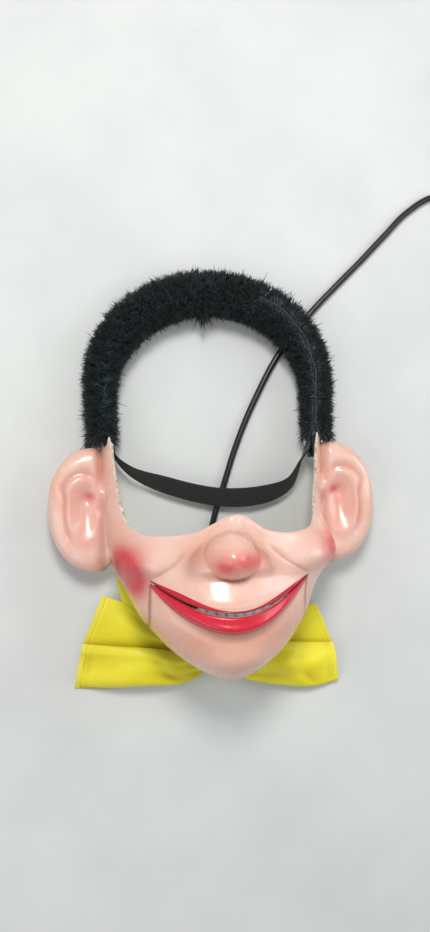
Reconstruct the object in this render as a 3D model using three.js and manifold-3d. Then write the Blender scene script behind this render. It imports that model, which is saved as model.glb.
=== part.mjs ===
// Ventriloquist half mask, worn over the lower face. A cable and a squeeze grip open its jaw.
// The mask lies on its back: +Z points out of the face, +Y towards the crown and +X to the right
// of the picture plane. The origin is where the crown of the headband touches the table, z = 0.
import * as THREE from "three";
import { mergeVertices } from "three/addons/utils/BufferGeometryUtils.js";
import Module from "manifold-3d";

const wasm = await Module();
wasm.setup();
const V = (x, y, z) => new THREE.Vector3(x, y, z);

// ---------- driving dimensions, mm ----------
const GAP = 0.3; // between touching pieces
const WALL = 3; // face and jaw shell thickness

// Face sections across the head: height y, half width, side rim z, centre line z.
const SECTIONS = [
  [-104, 87.5, 12, 80],
  [-150, 89, 5, 84],
  [-190, 88, 3, 88],
  [-214, 83, 10, 92],
  [-232, 73.5, 26, 94.5],
  [-248, 65.5, 37, 95],
  [-262, 57.5, 44, 93],
  [-276, 46, 49, 88],
  [-288, 30.5, 53, 79],
  [-295, 15, 56.5, 68],
  [-298, 3, 59, 61],
];
const CHIN_Y = -298;
const CHEEK_Y = -205; // below this the shell narrows to the chin

const MOUTH_HALF = 57.5; // mouth corner
const MOUTH_CORNER_Y = -220;
const MOUTH_DROP = 21; // centre of the lip line below the corners
const MOUTH_GAP = 2.4; // parting in the middle, which shows the teeth
const SLOT_HALF = 61.3; // jaw slot at its lower end
const SLOT_END_Y = -256;
const CUT = 0.8; // width of the saw cut round the jaw

const HINGE_Y = -219; // jaw hinge axis, along X
const HINGE_Z = 29;
const ARM_X = 68.3; // middle of the jaw arm at the hinge
const PIVOT_R = 2;

const TEMPLE_Y = -112.5; // top of the temple strips
const RIVET_Y = -120; // rivet through shell, headband and strap
const RIVET_Z = 14;
const RIVET_R = 1.6;

const ARCH_HALF = 86; // headband centre line
const ARCH_TOP = 75; // rise of its round part
const CORE_T = 2.4;
const CORE_INSET = 4.7; // its legs run inside the temple walls
const CORE_Z = [6.2, 24];
const FUR_Z = 27;
const FUR_LEG = 11.5; // half thickness of the fur at the temples and at the crown
const FUR_CROWN = 17.5;

const CABLE_R = 2.5; // brake-type housing
const WIRE_R = 0.8;
const STOP_X = -50;
const STOP_Z = 35.5;
const COIL_AT = [254, 116];
const COIL_R = 27.5; // middle of the turns
const COIL_SECTION = [15.5, 10]; // radial and axial size of the wound turns
const COIL_LOW = 1.4; // underside of the turns
const GRIP_AT = [249.5, 22]; // top middle of the handle
const GRIP_T = 20; // thickness of the grip
const LEVER_T = 8;
const LEVER_PIVOT = [12, 12]; // from the top middle of the handle
const LEVER_NIPPLE = [32, 16];

// ---------- solids ----------
function geometryOf(vertices, triangles) {
  let volume = 0;
  for (const [a, b, c] of triangles)
    volume += vertices[a].dot(vertices[b].clone().cross(vertices[c]));
  const index = triangles.flatMap(([a, b, c]) => (volume < 0 ? [a, c, b] : [a, b, c]));
  const geometry = new THREE.BufferGeometry().setFromPoints(vertices);
  geometry.setIndex(index);
  return geometry;
}

// Closed solid through rings of equal length, with a fan over each end.
function loft(rings) {
  const n = rings[0].length;
  const vertices = rings.flat();
  const triangles = [];
  for (let r = 0; r + 1 < rings.length; r++)
    for (let i = 0; i < n; i++) {
      const [a, b] = [r * n + i, r * n + ((i + 1) % n)];
      triangles.push([a, b, b + n], [a, b + n, a + n]);
    }
  for (const [r, flip] of [[0, true], [rings.length - 1, false]]) {
    const centre = rings[r].reduce((sum, p) => sum.add(p), V(0, 0, 0)).divideScalar(n);
    vertices.push(centre);
    for (let i = 0; i < n; i++) {
      const [a, b] = [r * n + i, r * n + ((i + 1) % n)];
      triangles.push(flip ? [vertices.length - 1, b, a] : [vertices.length - 1, a, b]);
    }
  }
  return geometryOf(vertices, triangles);
}

// Closed plate between two grids of equal size, [row][column].
function plate(front, back) {
  const [rows, cols] = [front.length, front[0].length];
  const vertices = [...front.flat(), ...back.flat()];
  const size = rows * cols;
  const at = (side, r, c) => side * size + r * cols + c;
  const triangles = [];
  for (let r = 0; r + 1 < rows; r++)
    for (let c = 0; c + 1 < cols; c++)
      for (const side of [0, 1]) {
        const quad = [at(side, r, c), at(side, r, c + 1), at(side, r + 1, c + 1), at(side, r + 1, c)];
        if (side) quad.reverse();
        triangles.push([quad[0], quad[1], quad[2]], [quad[0], quad[2], quad[3]]);
      }
  const edge = [];
  for (let c = 0; c + 1 < cols; c++) edge.push([0, c]);
  for (let r = 0; r + 1 < rows; r++) edge.push([r, cols - 1]);
  for (let c = cols - 1; c > 0; c--) edge.push([rows - 1, c]);
  for (let r = rows - 1; r > 0; r--) edge.push([r, 0]);
  edge.forEach(([r, c], i) => {
    const [r2, c2] = edge[(i + 1) % edge.length];
    const [a, b, d, e] = [at(0, r, c), at(0, r2, c2), at(1, r2, c2), at(1, r, c)];
    triangles.push([b, a, e], [b, e, d]);
  });
  return geometryOf(vertices, triangles);
}

function solid(geometry) {
  const bare = geometry.clone();
  bare.deleteAttribute("normal");
  bare.deleteAttribute("uv");
  const merged = mergeVertices(bare, 1e-4);
  return new wasm.Manifold(
    new wasm.Mesh({
      numProp: 3,
      vertProperties: new Float32Array(merged.attributes.position.array),
      triVerts: new Uint32Array(merged.index.array),
    }),
  );
}

function geometryFrom(made) {
  const mesh = made.getMesh();
  const geometry = new THREE.BufferGeometry();
  geometry.setAttribute("position", new THREE.BufferAttribute(mesh.vertProperties, 3));
  geometry.setIndex(new THREE.BufferAttribute(mesh.triVerts, 1));
  return geometry;
}

const cutFrom = (geometry, ...tools) =>
  geometryFrom(tools.reduce((left, tool) => left.subtract(solid(tool)), solid(geometry)));
const join = (...parts) => geometryFrom(parts.map(solid).reduce((a, b) => a.add(b)));
const common = (a, b) => geometryFrom(solid(a).intersect(solid(b)));

// Round bar between two points.
function rod(from, to, radius, sides = 16, endRadius = radius) {
  const axis = to.clone().sub(from);
  const bar = new THREE.CylinderGeometry(endRadius, radius, axis.length(), sides);
  bar.applyQuaternion(new THREE.Quaternion().setFromUnitVectors(V(0, 1, 0), axis.clone().normalize()));
  const middle = from.clone().add(to).multiplyScalar(0.5);
  return bar.translate(middle.x, middle.y, middle.z);
}

const box = (x, y, z) =>
  new THREE.BoxGeometry(x[1] - x[0], y[1] - y[0], z[1] - z[0]).translate(
    (x[0] + x[1]) / 2,
    (y[0] + y[1]) / 2,
    (z[0] + z[1]) / 2,
  );

// Flat outline in the XY plane, raised from z[0] to z[1].
function prism(points, z) {
  const shape = new THREE.Shape(points.map(([x, y]) => new THREE.Vector2(x, y)));
  const options = { depth: z[1] - z[0], bevelEnabled: false };
  return new THREE.ExtrudeGeometry(shape, options).translate(0, 0, z[0]);
}

// Strip along points; each point may turn the strip's width direction.
function strip(points, widths, width, thickness, steps) {
  const path = new THREE.CatmullRomCurve3(points);
  const turn = new THREE.CatmullRomCurve3(widths);
  const rings = [];
  for (let i = 0; i <= steps; i++) {
    const t = i / steps;
    const along = path.getTangent(t);
    const side = turn.getPoint(t).projectOnPlane(along).normalize();
    const up = along.clone().cross(side);
    const corner = (a, b) =>
      path.getPoint(t).addScaledVector(side, (a * width) / 2).addScaledVector(up, (b * thickness) / 2);
    rings.push([corner(-1, -1), corner(1, -1), corner(1, 1), corner(-1, 1)]);
  }
  return loft(rings);
}

// Round tube along a curve.
function tube(points, radius, sides, steps) {
  const ring = new THREE.Shape(
    Array.from({ length: sides }, (_, i) => {
      const angle = (i / sides) * 2 * Math.PI;
      return new THREE.Vector2(radius * Math.cos(angle), radius * Math.sin(angle));
    }),
  );
  const extrudePath = new THREE.CatmullRomCurve3(points);
  return new THREE.ExtrudeGeometry(ring, { steps, extrudePath, bevelEnabled: false });
}

const mirrored = (geometry) => {
  const copy = geometry.clone();
  copy.scale(-1, 1, 1);
  const index = Array.from(copy.index.array);
  for (let i = 0; i < index.length; i += 3) [index[i + 1], index[i + 2]] = [index[i + 2], index[i + 1]];
  copy.setIndex(index);
  return copy;
};

// ---------- the face surface ----------
// Smooth value of one column of SECTIONS at height y.
function section(y, column) {
  const last = SECTIONS.length - 1;
  let k = 0;
  while (k < last - 1 && y < SECTIONS[k + 1][0]) k++;
  const slope = (i) => {
    const [a, b] = [Math.max(i - 1, 0), Math.min(i + 1, last)];
    return (SECTIONS[b][column] - SECTIONS[a][column]) / (SECTIONS[b][0] - SECTIONS[a][0]);
  };
  const [y0, y1] = [SECTIONS[k][0], SECTIONS[k + 1][0]];
  const t = THREE.MathUtils.clamp((y - y0) / (y1 - y0), 0, 1);
  const span = y1 - y0;
  const [t2, t3] = [t * t, t * t * t];
  return (
    (2 * t3 - 3 * t2 + 1) * SECTIONS[k][column] +
    (t3 - 2 * t2 + t) * span * slope(k) +
    (-2 * t3 + 3 * t2) * SECTIONS[k + 1][column] +
    (t3 - t2) * span * slope(k + 1)
  );
}

const lipLine = (x) => MOUTH_CORNER_Y - MOUTH_DROP * (1 - Math.pow(Math.abs(x) / MOUTH_HALF, 2));
const hill = (d, width) => Math.exp(-(d * d) / (2 * width * width));
const dome = (x, y, rx, ry) => Math.pow(Math.max(0, 1 - (x / rx) ** 2 - (y / ry) ** 2), 0.6);

// Height of the features above the smooth oval.
function relief(x, y) {
  const side = Math.abs(x);
  const mouth = lipLine(x);
  const inMouth = Math.max(0, 1 - (side / (MOUTH_HALF + 1)) ** 2);
  const nose = 22 * dome(x, y + 202, 19, 20) + 9 * dome(side - 20, y + 208, 10, 11);
  const bridge = 8 * hill(x, 9) * hill(y + 182, 10);
  const cheek = 6 * hill(side - 56, 15) * hill(y + 202, 13);
  const smile = -2.2 * hill(side - 30 + 0.9 * (y + 203), 3) * hill(y + 210, 14) * (side > 24 ? 1 : 0);
  const upperLip = 2.5 * hill(y - mouth - 3, 2.5) * Math.sqrt(inMouth);
  const lowerLip = 7 * hill(y - mouth + 13, 7) * inMouth;
  const chin = 6 * hill(x, 20) * hill(y + 281, 9);
  return Math.max(nose, bridge) + cheek + smile + upperLip + lowerLip + chin;
}

// Point of the face at angle turn from the centre line; inset moves it inwards.
function facePoint(turn, y, inset) {
  const half = section(y, 1) - inset;
  const rim = section(y, 2);
  const rise = Math.max(section(y, 3) - rim - inset, 0.5);
  const x = Math.max(half, 0.5) * Math.sin(turn);
  const shrink = (CHEEK_Y - CHIN_Y - inset) / (CHEEK_Y - CHIN_Y);
  const yAt = y < CHEEK_Y ? CHEEK_Y + (y - CHEEK_Y) * shrink : y;
  return V(x, yAt, rim + rise * Math.cos(turn) + relief(x, y) * Math.cos(turn));
}

// Height of the outer face at x, y.
function faceHeight(x, y) {
  const half = section(y, 1);
  const turn = Math.asin(THREE.MathUtils.clamp(x / half, -1, 1));
  return facePoint(turn, y, 0).z;
}

// Upper edge of the mask for each turn: brow dip, nose bridge in the middle, temple strips at the sides.
const TOP_EDGE = [
  [0, -172],
  [6, -173.5],
  [14, -179],
  [24, -184.5],
  [38, -187.5],
  [52, -187],
  [62, -184],
  [69, -176],
  [73.5, -160],
  [76, -140],
  [78, -125],
  [80, TEMPLE_Y],
];
function topEdge(turn) {
  const x = ARCH_HALF * Math.abs(Math.sin(turn));
  if (x >= TOP_EDGE.at(-1)[0]) return TEMPLE_Y;
  const k = TOP_EDGE.findIndex((point) => point[0] > x) - 1;
  const [[x0, y0], [x1, y1]] = [TOP_EDGE[k], TOP_EDGE[k + 1]];
  return THREE.MathUtils.lerp(y0, y1, (x - x0) / (x1 - x0));
}

const FACE_COLS = 40;
const FACE_ROWS = 20;
function faceGrid(inset) {
  const rows = [];
  for (let r = 0; r <= FACE_ROWS; r++) {
    const row = [];
    for (let c = 0; c <= FACE_COLS; c++) {
      const turn = (c / FACE_COLS - 0.5) * Math.PI;
      const t = r / FACE_ROWS;
      const top = topEdge(turn);
      row.push(facePoint(turn, top + (CHIN_Y - top) * Math.pow(t, 0.9), inset));
    }
    rows.push(row);
  }
  return rows;
}

// Everything inside the face surface, down to below the table; grow moves its wall outwards.
function insideFace(grow) {
  const rings = [];
  for (let y = -104; y >= CHIN_Y; y -= 6) {
    const ring = [];
    for (let c = 0; c <= 24; c++) ring.push(facePoint((c / 24 - 0.5) * Math.PI, y, -grow));
    ring.push(V(ring[24].x, ring[24].y, -30), V(ring[0].x, ring[0].y, -30));
    rings.push(ring);
  }
  return loft(rings);
}
const innerRoom = insideFace(-WALL - GAP);
const outerRoom = insideFace(GAP);

// ---------- jaw outline ----------
function jawOutline(side) {
  const edge = [];
  const drop = side > 0 ? 0 : CUT;
  for (let x = -MOUTH_HALF; x <= MOUTH_HALF + 0.01; x += MOUTH_HALF / 10) {
    const parting = (side > 0 ? 0 : MOUTH_GAP * (1 - (x / MOUTH_HALF) ** 2)) + drop;
    edge.push([x, lipLine(x) - parting]);
  }
  const out = (side * CUT) / 2;
  edge[0][0] -= out;
  edge.at(-1)[0] += out;
  const far = [
    [SLOT_HALF + out, SLOT_END_Y + out],
    [110, SLOT_END_Y - 1 + out],
    [110, -330],
  ];
  return [...edge, ...far, ...far.map(([x, y]) => [-x, y]).reverse()];
}

const templeRivetHole = (side) =>
  rod(V(side * 70, RIVET_Y, RIVET_Z), V(side * 96, RIVET_Y, RIVET_Z), RIVET_R + GAP, 12);
const armScrews = [
  [51.5, -238],
  [50, -246],
];
// Unit normal of the face at x, y, pointing out.
function normalAt(x, y) {
  const dx = faceHeight(x + 0.5, y) - faceHeight(x - 0.5, y);
  const dy = faceHeight(x, y + 0.5) - faceHeight(x, y - 0.5);
  return V(-dx, -dy, 1).normalize();
}
// Blind screw from the inside: from and to are depths below the outer surface.
function screwInto(side, [x, y], from, to, radius) {
  const [surface, out] = [V(side * x, y, faceHeight(x, y)), normalAt(side * x, y)];
  const at = (depth) => surface.clone().addScaledVector(out, -depth);
  return rod(at(from), at(to), radius, 10);
}

const shell = plate(faceGrid(0), faceGrid(WALL));
const faceShell = cutFrom(
  shell,
  prism(jawOutline(1), [-20, 150]),
  templeRivetHole(1),
  templeRivetHole(-1),
);
const screwHoles = [1, -1].flatMap((side) => armScrews.map((at) => screwInto(side, at, 12, 1.4, 1.5)));
const jawShell = common(cutFrom(shell, ...screwHoles), prism(jawOutline(-1), [-20, 150]));

// ---------- ears ----------
const EAR_AT = [91, -167];
const EAR_HEIGHT = 48;
const EAR_OUT = 38;
function earSolid() {
  const around = 30;
  const rings = [];
  // Front from the middle of the bowl to the rim, then the back from the rim to the middle.
  const profile = [
    [0.12, 15],
    [0.45, 16],
    [0.72, 22],
    [0.84, 29],
    [0.93, 30],
    [1, 26],
    [0.98, 19],
    [0.8, 12],
    [0.4, 8],
    [0.12, 7],
  ];
  for (const [reach, z] of profile) {
    const ring = [];
    for (let i = 0; i < around; i++) {
      const angle = (i / around) * 2 * Math.PI;
      const [c, s] = [Math.cos(angle), Math.sin(angle)];
      const x = EAR_AT[0] + (c > 0 ? EAR_OUT : 16) * c * reach;
      const y = EAR_AT[1] + EAR_HEIGHT * s * reach * (s < 0 ? 1 - 0.06 * c : 1);
      ring.push(V(x, y, z + 3 * c * reach));
    }
    rings.push(ring);
  }
  return loft(rings);
}
const rivetPocket = rod(V(84, RIVET_Y, RIVET_Z), V(92, RIVET_Y, RIVET_Z), 5, 12);
const rightEar = cutFrom(earSolid(), outerRoom, rivetPocket);

// ---------- headband, fur and strap ----------
// Centre line of the arch from the left temple over the crown to the right one.
const LEG_STRAIGHT_Y = -100; // below this the legs run straight down beside the temples
function archPath(legEnd, steps, inset = 0) {
  const points = [];
  const straight = -ARCH_TOP;
  const legHeights = [legEnd, (legEnd + LEG_STRAIGHT_Y) / 2, LEG_STRAIGHT_Y];
  const leg = legHeights.map((y) => V(ARCH_HALF - inset, y, 0));
  points.push(...leg.map((p) => V(-p.x, p.y, 0)));
  for (let i = 0; i <= steps; i++) {
    const angle = Math.PI * (1 - i / steps);
    points.push(V(ARCH_HALF * Math.cos(angle), straight + ARCH_TOP * Math.sin(angle), 0));
  }
  return [...points, ...leg.reverse()];
}

function band(points, half, low, high, bulge) {
  const path = new THREE.CatmullRomCurve3(points);
  const rings = [];
  const steps = 44;
  for (let i = 0; i <= steps; i++) {
    const t = i / steps;
    const at = path.getPointAt(t);
    const along = path.getTangentAt(t);
    const out = V(along.y, -along.x, 0).normalize();
    const reach = half(at.y);
    const height = high - low;
    const ring = bulge
      ? [[-0.75, 0], [0.75, 0], [1, 0.2], [1, 0.7], [0.6, 1], [-0.6, 1], [-1, 0.7], [-1, 0.2]]
      : [[-1, 0], [1, 0], [1, 1], [-1, 1]];
    rings.push(ring.map(([a, b]) => at.clone().addScaledVector(out, a * reach).setZ(low + b * height)));
  }
  return loft(rings);
}
const furHalf = (y) => THREE.MathUtils.lerp(FUR_CROWN, FUR_LEG, THREE.MathUtils.smoothstep(-y, 5, 100));
const corePath = archPath(-132, 24, CORE_INSET);
const core = band(corePath, () => CORE_T / 2, ...CORE_Z);
const coreRoom = band(corePath, () => CORE_T / 2 + GAP, CORE_Z[0] - GAP, CORE_Z[1] + GAP);
const headband = cutFrom(core, templeRivetHole(1), templeRivetHole(-1));

// Cable from the ferrule, round behind the mouth, under the strap and the fur, to the coil.
const CABLE_ROUTE = [
  [STOP_X, -246.5, STOP_Z],
  [STOP_X, -250, STOP_Z - 0.3],
  [-48.3, -256.5, 32.8],
  [-43, -263, 28.5],
  [-35, -267.5, 24],
  [-25, -267, 19],
  [-16, -261, 14.5],
  [-11, -252, 10.5],
  [-9, -240, 6.5],
  [-7, -226, 3.6],
  [-4, -205, 2.5],
  [2, -179, 2.5],
  [11, -152, 2.5],
  [23, -118, 2.5],
  [39, -83, 2.5],
  [61, -45, 2.5],
  [85, -16, 2.5],
  [110, 9, 2.5],
  [131, 29, 2.5],
  [152, 50, 2.5],
  [174, 71, 2.5],
  [198, 84, 2.5],
  [216, 85, 2.5],
  [233, 84.6, 2.5],
].map((p) => V(...p));
const cableHousing = tube(CABLE_ROUTE, CABLE_R, 8, 62);
const cableRoom = tube(CABLE_ROUTE.slice(12, 18), CABLE_R + GAP + 0.2, 8, 20);

const furSolid = band(archPath(-112, 24), furHalf, 0, FUR_Z, true);
const furCover = cutFrom(furSolid, coreRoom, cableRoom, outerRoom);

const strapHoles = [1, -1].map((side) =>
  rod(V(side * 72, RIVET_Y, RIVET_Z), V(side * 86, RIVET_Y, RIVET_Z), RIVET_R + GAP, 12),
);
const elasticStrap = cutFrom(
  strip(
    [
      V(-78.4, -113, 15),
      V(-78.1, -124, 15),
      V(-66, -138, 15),
      V(-37, -151, 13),
      V(6, -162, 13),
      V(42, -161, 13),
      V(62, -153, 14),
      V(72, -136, 15),
      V(78.1, -124, 15),
      V(78.4, -113, 15),
    ],
    [
      V(0, 0, 1), V(0, 0, 1), V(0.15, 0.3, 1), V(0.15, 0.8, 0.75), V(0, 0.9, 0.6),
      V(0, 0.9, 0.6), V(-0.3, 0.6, 0.9), V(-0.2, 0.2, 1), V(0, 0, 1), V(0, 0, 1),
    ],
    18,
    1.8,
    44,
  ),
  ...strapHoles,
);

// Rivet through strap, headband and shell: a shaft with a domed head at each end.
function templeRivet() {
  const profile = [
    [0, 75.6],
    [3.4, 76],
    [3.6, 77.2],
    [RIVET_R, 77.2],
    [RIVET_R, 88.9],
    [3.8, 88.9],
    [3.4, 90.4],
    [0, 90.9],
  ].map(([r, h]) => new THREE.Vector2(r, h));
  return new THREE.LatheGeometry(profile, 12)
    .rotateZ(-Math.PI / 2)
    .translate(0, RIVET_Y, RIVET_Z);
}

// ---------- teeth ----------
function upperTeeth() {
  const [cols, half] = [20, 33];
  const grid = (depth) =>
    [5, 1, -3.5, -6.5].map((offset) =>
      Array.from({ length: cols + 1 }, (_, c) => {
        const x = -half + (2 * half * c) / cols;
        const y = lipLine(x);
        const across = Math.sqrt(1 - (x / section(y, 1)) ** 2);
        const smooth = section(y, 2) + (section(y, 3) - section(y, 2)) * across;
        return V(x, y + offset, smooth - WALL - 1.2 - depth);
      }),
    );
  return plate(grid(0), grid(3));
}

// ---------- jaw hinge, arms and return spring ----------
function hingeBlock() {
  const blank = box([69.8, 84], [HINGE_Y - 7, HINGE_Y + 7], [HINGE_Z - 6.5, HINGE_Z + 7]);
  const block = common(blank, innerRoom);
  const bore = rod(V(60, HINGE_Y, HINGE_Z), V(90, HINGE_Y, HINGE_Z), PIVOT_R + GAP, 16);
  return cutFrom(block, bore);
}

function pivotScrew() {
  const inner = ARM_X - 1.1 - GAP;
  const profile = [
    [0, inner - 2.6],
    [4, inner - 2.4],
    [4.4, inner - 0.2],
    [PIVOT_R, inner - 0.2],
    [PIVOT_R, 74.6],
    [0, 74.6],
  ].map(([r, h]) => new THREE.Vector2(r, h));
  return new THREE.LatheGeometry(profile, 16)
    .rotateZ(-Math.PI / 2)
    .translate(0, HINGE_Y, HINGE_Z);
}

const ARM_DEPTH = WALL + 3.8; // middle of the arm below the outer face
const SCREW_HEAD = ARM_DEPTH + 1.5; // underside of the screw heads
// Bent strip from the hinge to the inside of the jaw.
function jawArm() {
  const under = (x, y, depth) => V(x, y, faceHeight(x, y)).addScaledVector(normalAt(x, y), -depth);
  const tangent = V(0.7, 0, -0.72);
  const bent = strip(
    [
      V(ARM_X, HINGE_Y, HINGE_Z),
      V(ARM_X - 0.6, -222.5, 37),
      V(63.5, -226, 47),
      V(57, -230, 57),
      under(53, -235, ARM_DEPTH),
      under(51.5, -240, ARM_DEPTH),
      under(49.5, -249, ARM_DEPTH),
    ],
    [V(0, 1, 0.4), V(0, 1, 0.4), V(0.3, 1, 0.2), V(0.6, 0.7, -0.3), tangent, tangent, tangent],
    8,
    2.2,
    18,
  );
  const hub = rod(V(ARM_X - 1.1, HINGE_Y, HINGE_Z), V(ARM_X + 1.1, HINGE_Y, HINGE_Z), 6, 20);
  return join(bent, hub);
}
const armTools = [
  rod(V(60, HINGE_Y, HINGE_Z), V(90, HINGE_Y, HINGE_Z), PIVOT_R + GAP, 16),
  ...armScrews.map((at) => screwInto(1, at, 12, 1.4, 1.5)),
];

// Horn on the left arm that the wire pulls; its end holds the nipple.
const NIPPLE = [STOP_X, -209, 56];
function pullHorn() {
  const bent = strip(
    [
      V(-ARM_X, HINGE_Y + 1, HINGE_Z),
      V(-ARM_X + 1, -215, 38),
      V(-61.5, -211.5, 49),
      V(-54.5, -209.5, 55),
      V(-46.5, -209, 56.5),
    ],
    [V(0, 1, -0.3), V(0, 1, -0.3), V(0, 1, 0), V(0, 1, 0), V(0, 1, 0)],
    7,
    2.2,
    14,
  );
  return bent;
}
const nippleHole = rod(V(STOP_X, NIPPLE[1], 48), V(STOP_X, NIPPLE[1], 66), 1.5, 10);

// Peg on the right arm for the spring.
const ARM_PEG = [56, -229, 50];
const SHELL_PEG = [50, -196, 58];
const springPeg = rod(V(ARM_PEG[0] - 5, ARM_PEG[1], ARM_PEG[2]), V(62, ARM_PEG[1], ARM_PEG[2]), 1.8, 12);
const rightArm = cutFrom(join(jawArm(), springPeg), ...armTools);
const leftArm = cutFrom(
  join(mirrored(jawArm()), pullHorn()),
  ...armTools.map((tool) => mirrored(tool)),
  nippleHole,
);

const shellPeg = common(rod(V(...SHELL_PEG).setZ(54), V(...SHELL_PEG).setZ(90), 2.6, 12), innerRoom);
const springFrom = V(ARM_PEG[0] - 2.5, ARM_PEG[1], ARM_PEG[2]);
const springTo = V(...SHELL_PEG);
const springAlong = springTo.clone().sub(springFrom).normalize();
const returnSpring = rod(
  springFrom.clone().addScaledVector(springAlong, 2.6),
  springTo.clone().addScaledVector(springAlong, -3.4),
  2.8,
  12,
);

// ---------- cable stop, ferrule and wire ----------
function stopBlock() {
  const block = box([-80, STOP_X + 5.5], [-242, -236], [STOP_Z - 4.5, STOP_Z + 5]);
  return cutFrom(common(block, innerRoom), rod(V(STOP_X, -250, STOP_Z), V(STOP_X, -230, STOP_Z), 2.9, 12));
}
function ferrule() {
  const profile = [
    [1.1, 0],
    [2.2, 0],
    [2.5, 1.2],
    [2.5, 8.2],
    [3.4, 8.2],
    [3.4, 12],
    [1.1, 12],
    [1.1, 0],
  ].map(([r, h]) => new THREE.Vector2(r, h));
  return new THREE.LatheGeometry(profile, 12);
}
const FERRULE_TOP = -234; // its front end at the mask, on the wire's line
const maskFerrule = ferrule().rotateX(Math.PI).translate(STOP_X, FERRULE_TOP, STOP_Z);
const pullWire = rod(
  V(STOP_X, FERRULE_TOP + 0.4, STOP_Z + 0.2),
  V(STOP_X, NIPPLE[1] - 2.2, NIPPLE[2] - 3.1),
  WIRE_R,
  8,
);
const maskNipple = join(
  rod(V(STOP_X, NIPPLE[1], 51.6), V(STOP_X, NIPPLE[1], 59.6), 1.1, 10),
  rod(V(STOP_X, NIPPLE[1], 50.4), V(STOP_X, NIPPLE[1], 54), 1.6, 10),
);

// ---------- coil, tie and squeeze grip ----------
function coilRing() {
  const [w, h] = COIL_SECTION;
  const low = COIL_LOW;
  const profile = [
    [COIL_R - w / 2 + 1.5, low],
    [COIL_R + w / 2 - 1.5, low],
    [COIL_R + w / 2, low + h / 2],
    [COIL_R + w / 2 - 1.5, low + h],
    [COIL_R - w / 2 + 1.5, low + h],
    [COIL_R - w / 2, low + h / 2],
    [COIL_R - w / 2 + 1.5, low],
  ].map(([r, z]) => new THREE.Vector2(r, z));
  return new THREE.LatheGeometry(profile, 36).rotateX(Math.PI / 2);
}

// Flat band round the coil's section.
function coilTie() {
  const [w, h] = COIL_SECTION;
  const outer = box([COIL_R - w / 2 - 1.5, COIL_R + w / 2 + 1.5], [-3, 3], [0.1, h + 2.7]);
  const inner = box([COIL_R - w / 2 - 0.5, COIL_R + w / 2 + 0.5], [-5, 5], [1, h + 1.8]);
  return cutFrom(outer, inner).rotateZ((-3 * Math.PI) / 4);
}

const gripPoint = ([x, y], z) => V(GRIP_AT[0] + x, GRIP_AT[1] + y, z);
const gripMiddle = GRIP_T / 2;

function gripBody() {
  const outline = [
    [-8, -118], [8, -118], [12, -112], [10.5, -60], [12, -12], [22, 0], [38, 6], [40, 10],
    [40, 33], [37, 35.7], [-6, 35.7], [-12, 28], [-12, -12], [-10.5, -60], [-12, -112],
  ];
  const body = prism(outline, [0, GRIP_T]);
  const slot = box([2, 60], [-14, 27.5], [gripMiddle - LEVER_T / 2 - 0.6, gripMiddle + LEVER_T / 2 + 0.6]);
  const pinHole = rod(V(...LEVER_PIVOT, -1), V(...LEVER_PIVOT, GRIP_T + 1), 2.3, 16);
  const bore = rod(V(LEVER_NIPPLE[0], 20, gripMiddle), V(LEVER_NIPPLE[0], 40, gripMiddle), 2.9, 12);
  return cutFrom(body, slot, pinHole, bore).translate(...GRIP_AT, 0);
}

function lever() {
  const low = gripMiddle - LEVER_T / 2;
  const high = gripMiddle + LEVER_T / 2;
  const route = [[12, 12], [24, 9], [35, 0], [40, -14], [40.5, -50], [43, -104]];
  const arm = strip(
    route.map(([x, y]) => V(x, y, gripMiddle)),
    route.map(() => V(0, 0, 1)),
    LEVER_T,
    9,
    16,
  );
  const hub = rod(V(...LEVER_PIVOT, low), V(...LEVER_PIVOT, high), 8, 20);
  const lug = rod(V(...LEVER_NIPPLE, low), V(...LEVER_NIPPLE, high), 5.5, 16);
  const web = box([14, 30], [8, 19], [low, high]);
  const pinHole = rod(V(...LEVER_PIVOT, -1), V(...LEVER_PIVOT, GRIP_T + 1), 2.3, 16);
  const nippleBore = rod(V(...LEVER_NIPPLE, -1), V(...LEVER_NIPPLE, GRIP_T + 1), 2.4, 12);
  return cutFrom(join(arm, hub, lug, web), pinHole, nippleBore).translate(...GRIP_AT, 0);
}

const leverPin = rod(gripPoint(LEVER_PIVOT, 0.4), gripPoint(LEVER_PIVOT, GRIP_T - 0.4), 2, 16);
const leverNipple = rod(
  gripPoint(LEVER_NIPPLE, gripMiddle - LEVER_T / 2 + 0.2),
  gripPoint(LEVER_NIPPLE, gripMiddle + LEVER_T / 2 - 0.2),
  2.05,
  12,
);
const gripFerrule = ferrule().translate(GRIP_AT[0] + LEVER_NIPPLE[0], GRIP_AT[1] + 27.9, gripMiddle);
const gripWire = rod(
  gripPoint([LEVER_NIPPLE[0], LEVER_NIPPLE[1] + 5.9], gripMiddle),
  gripPoint([LEVER_NIPPLE[0], 27.5], gripMiddle),
  WIRE_R,
  8,
);
// Out of the grip's ferrule and round to the coil, where the cable leaves its upper layer.
const GRIP_LEAD = [
  [281.5, 62.4, 10],
  [281.4, 64.4, 9.9],
  [281, 66.5, 9.8],
  [279.6, 70.7, 9.6],
  [277.4, 74.6, 9.4],
  [274.4, 78, 9.2],
  [270.6, 80.6, 9],
].map((p) => V(...p));
const cableLead = tube(GRIP_LEAD, CABLE_R, 8, 9);

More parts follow.
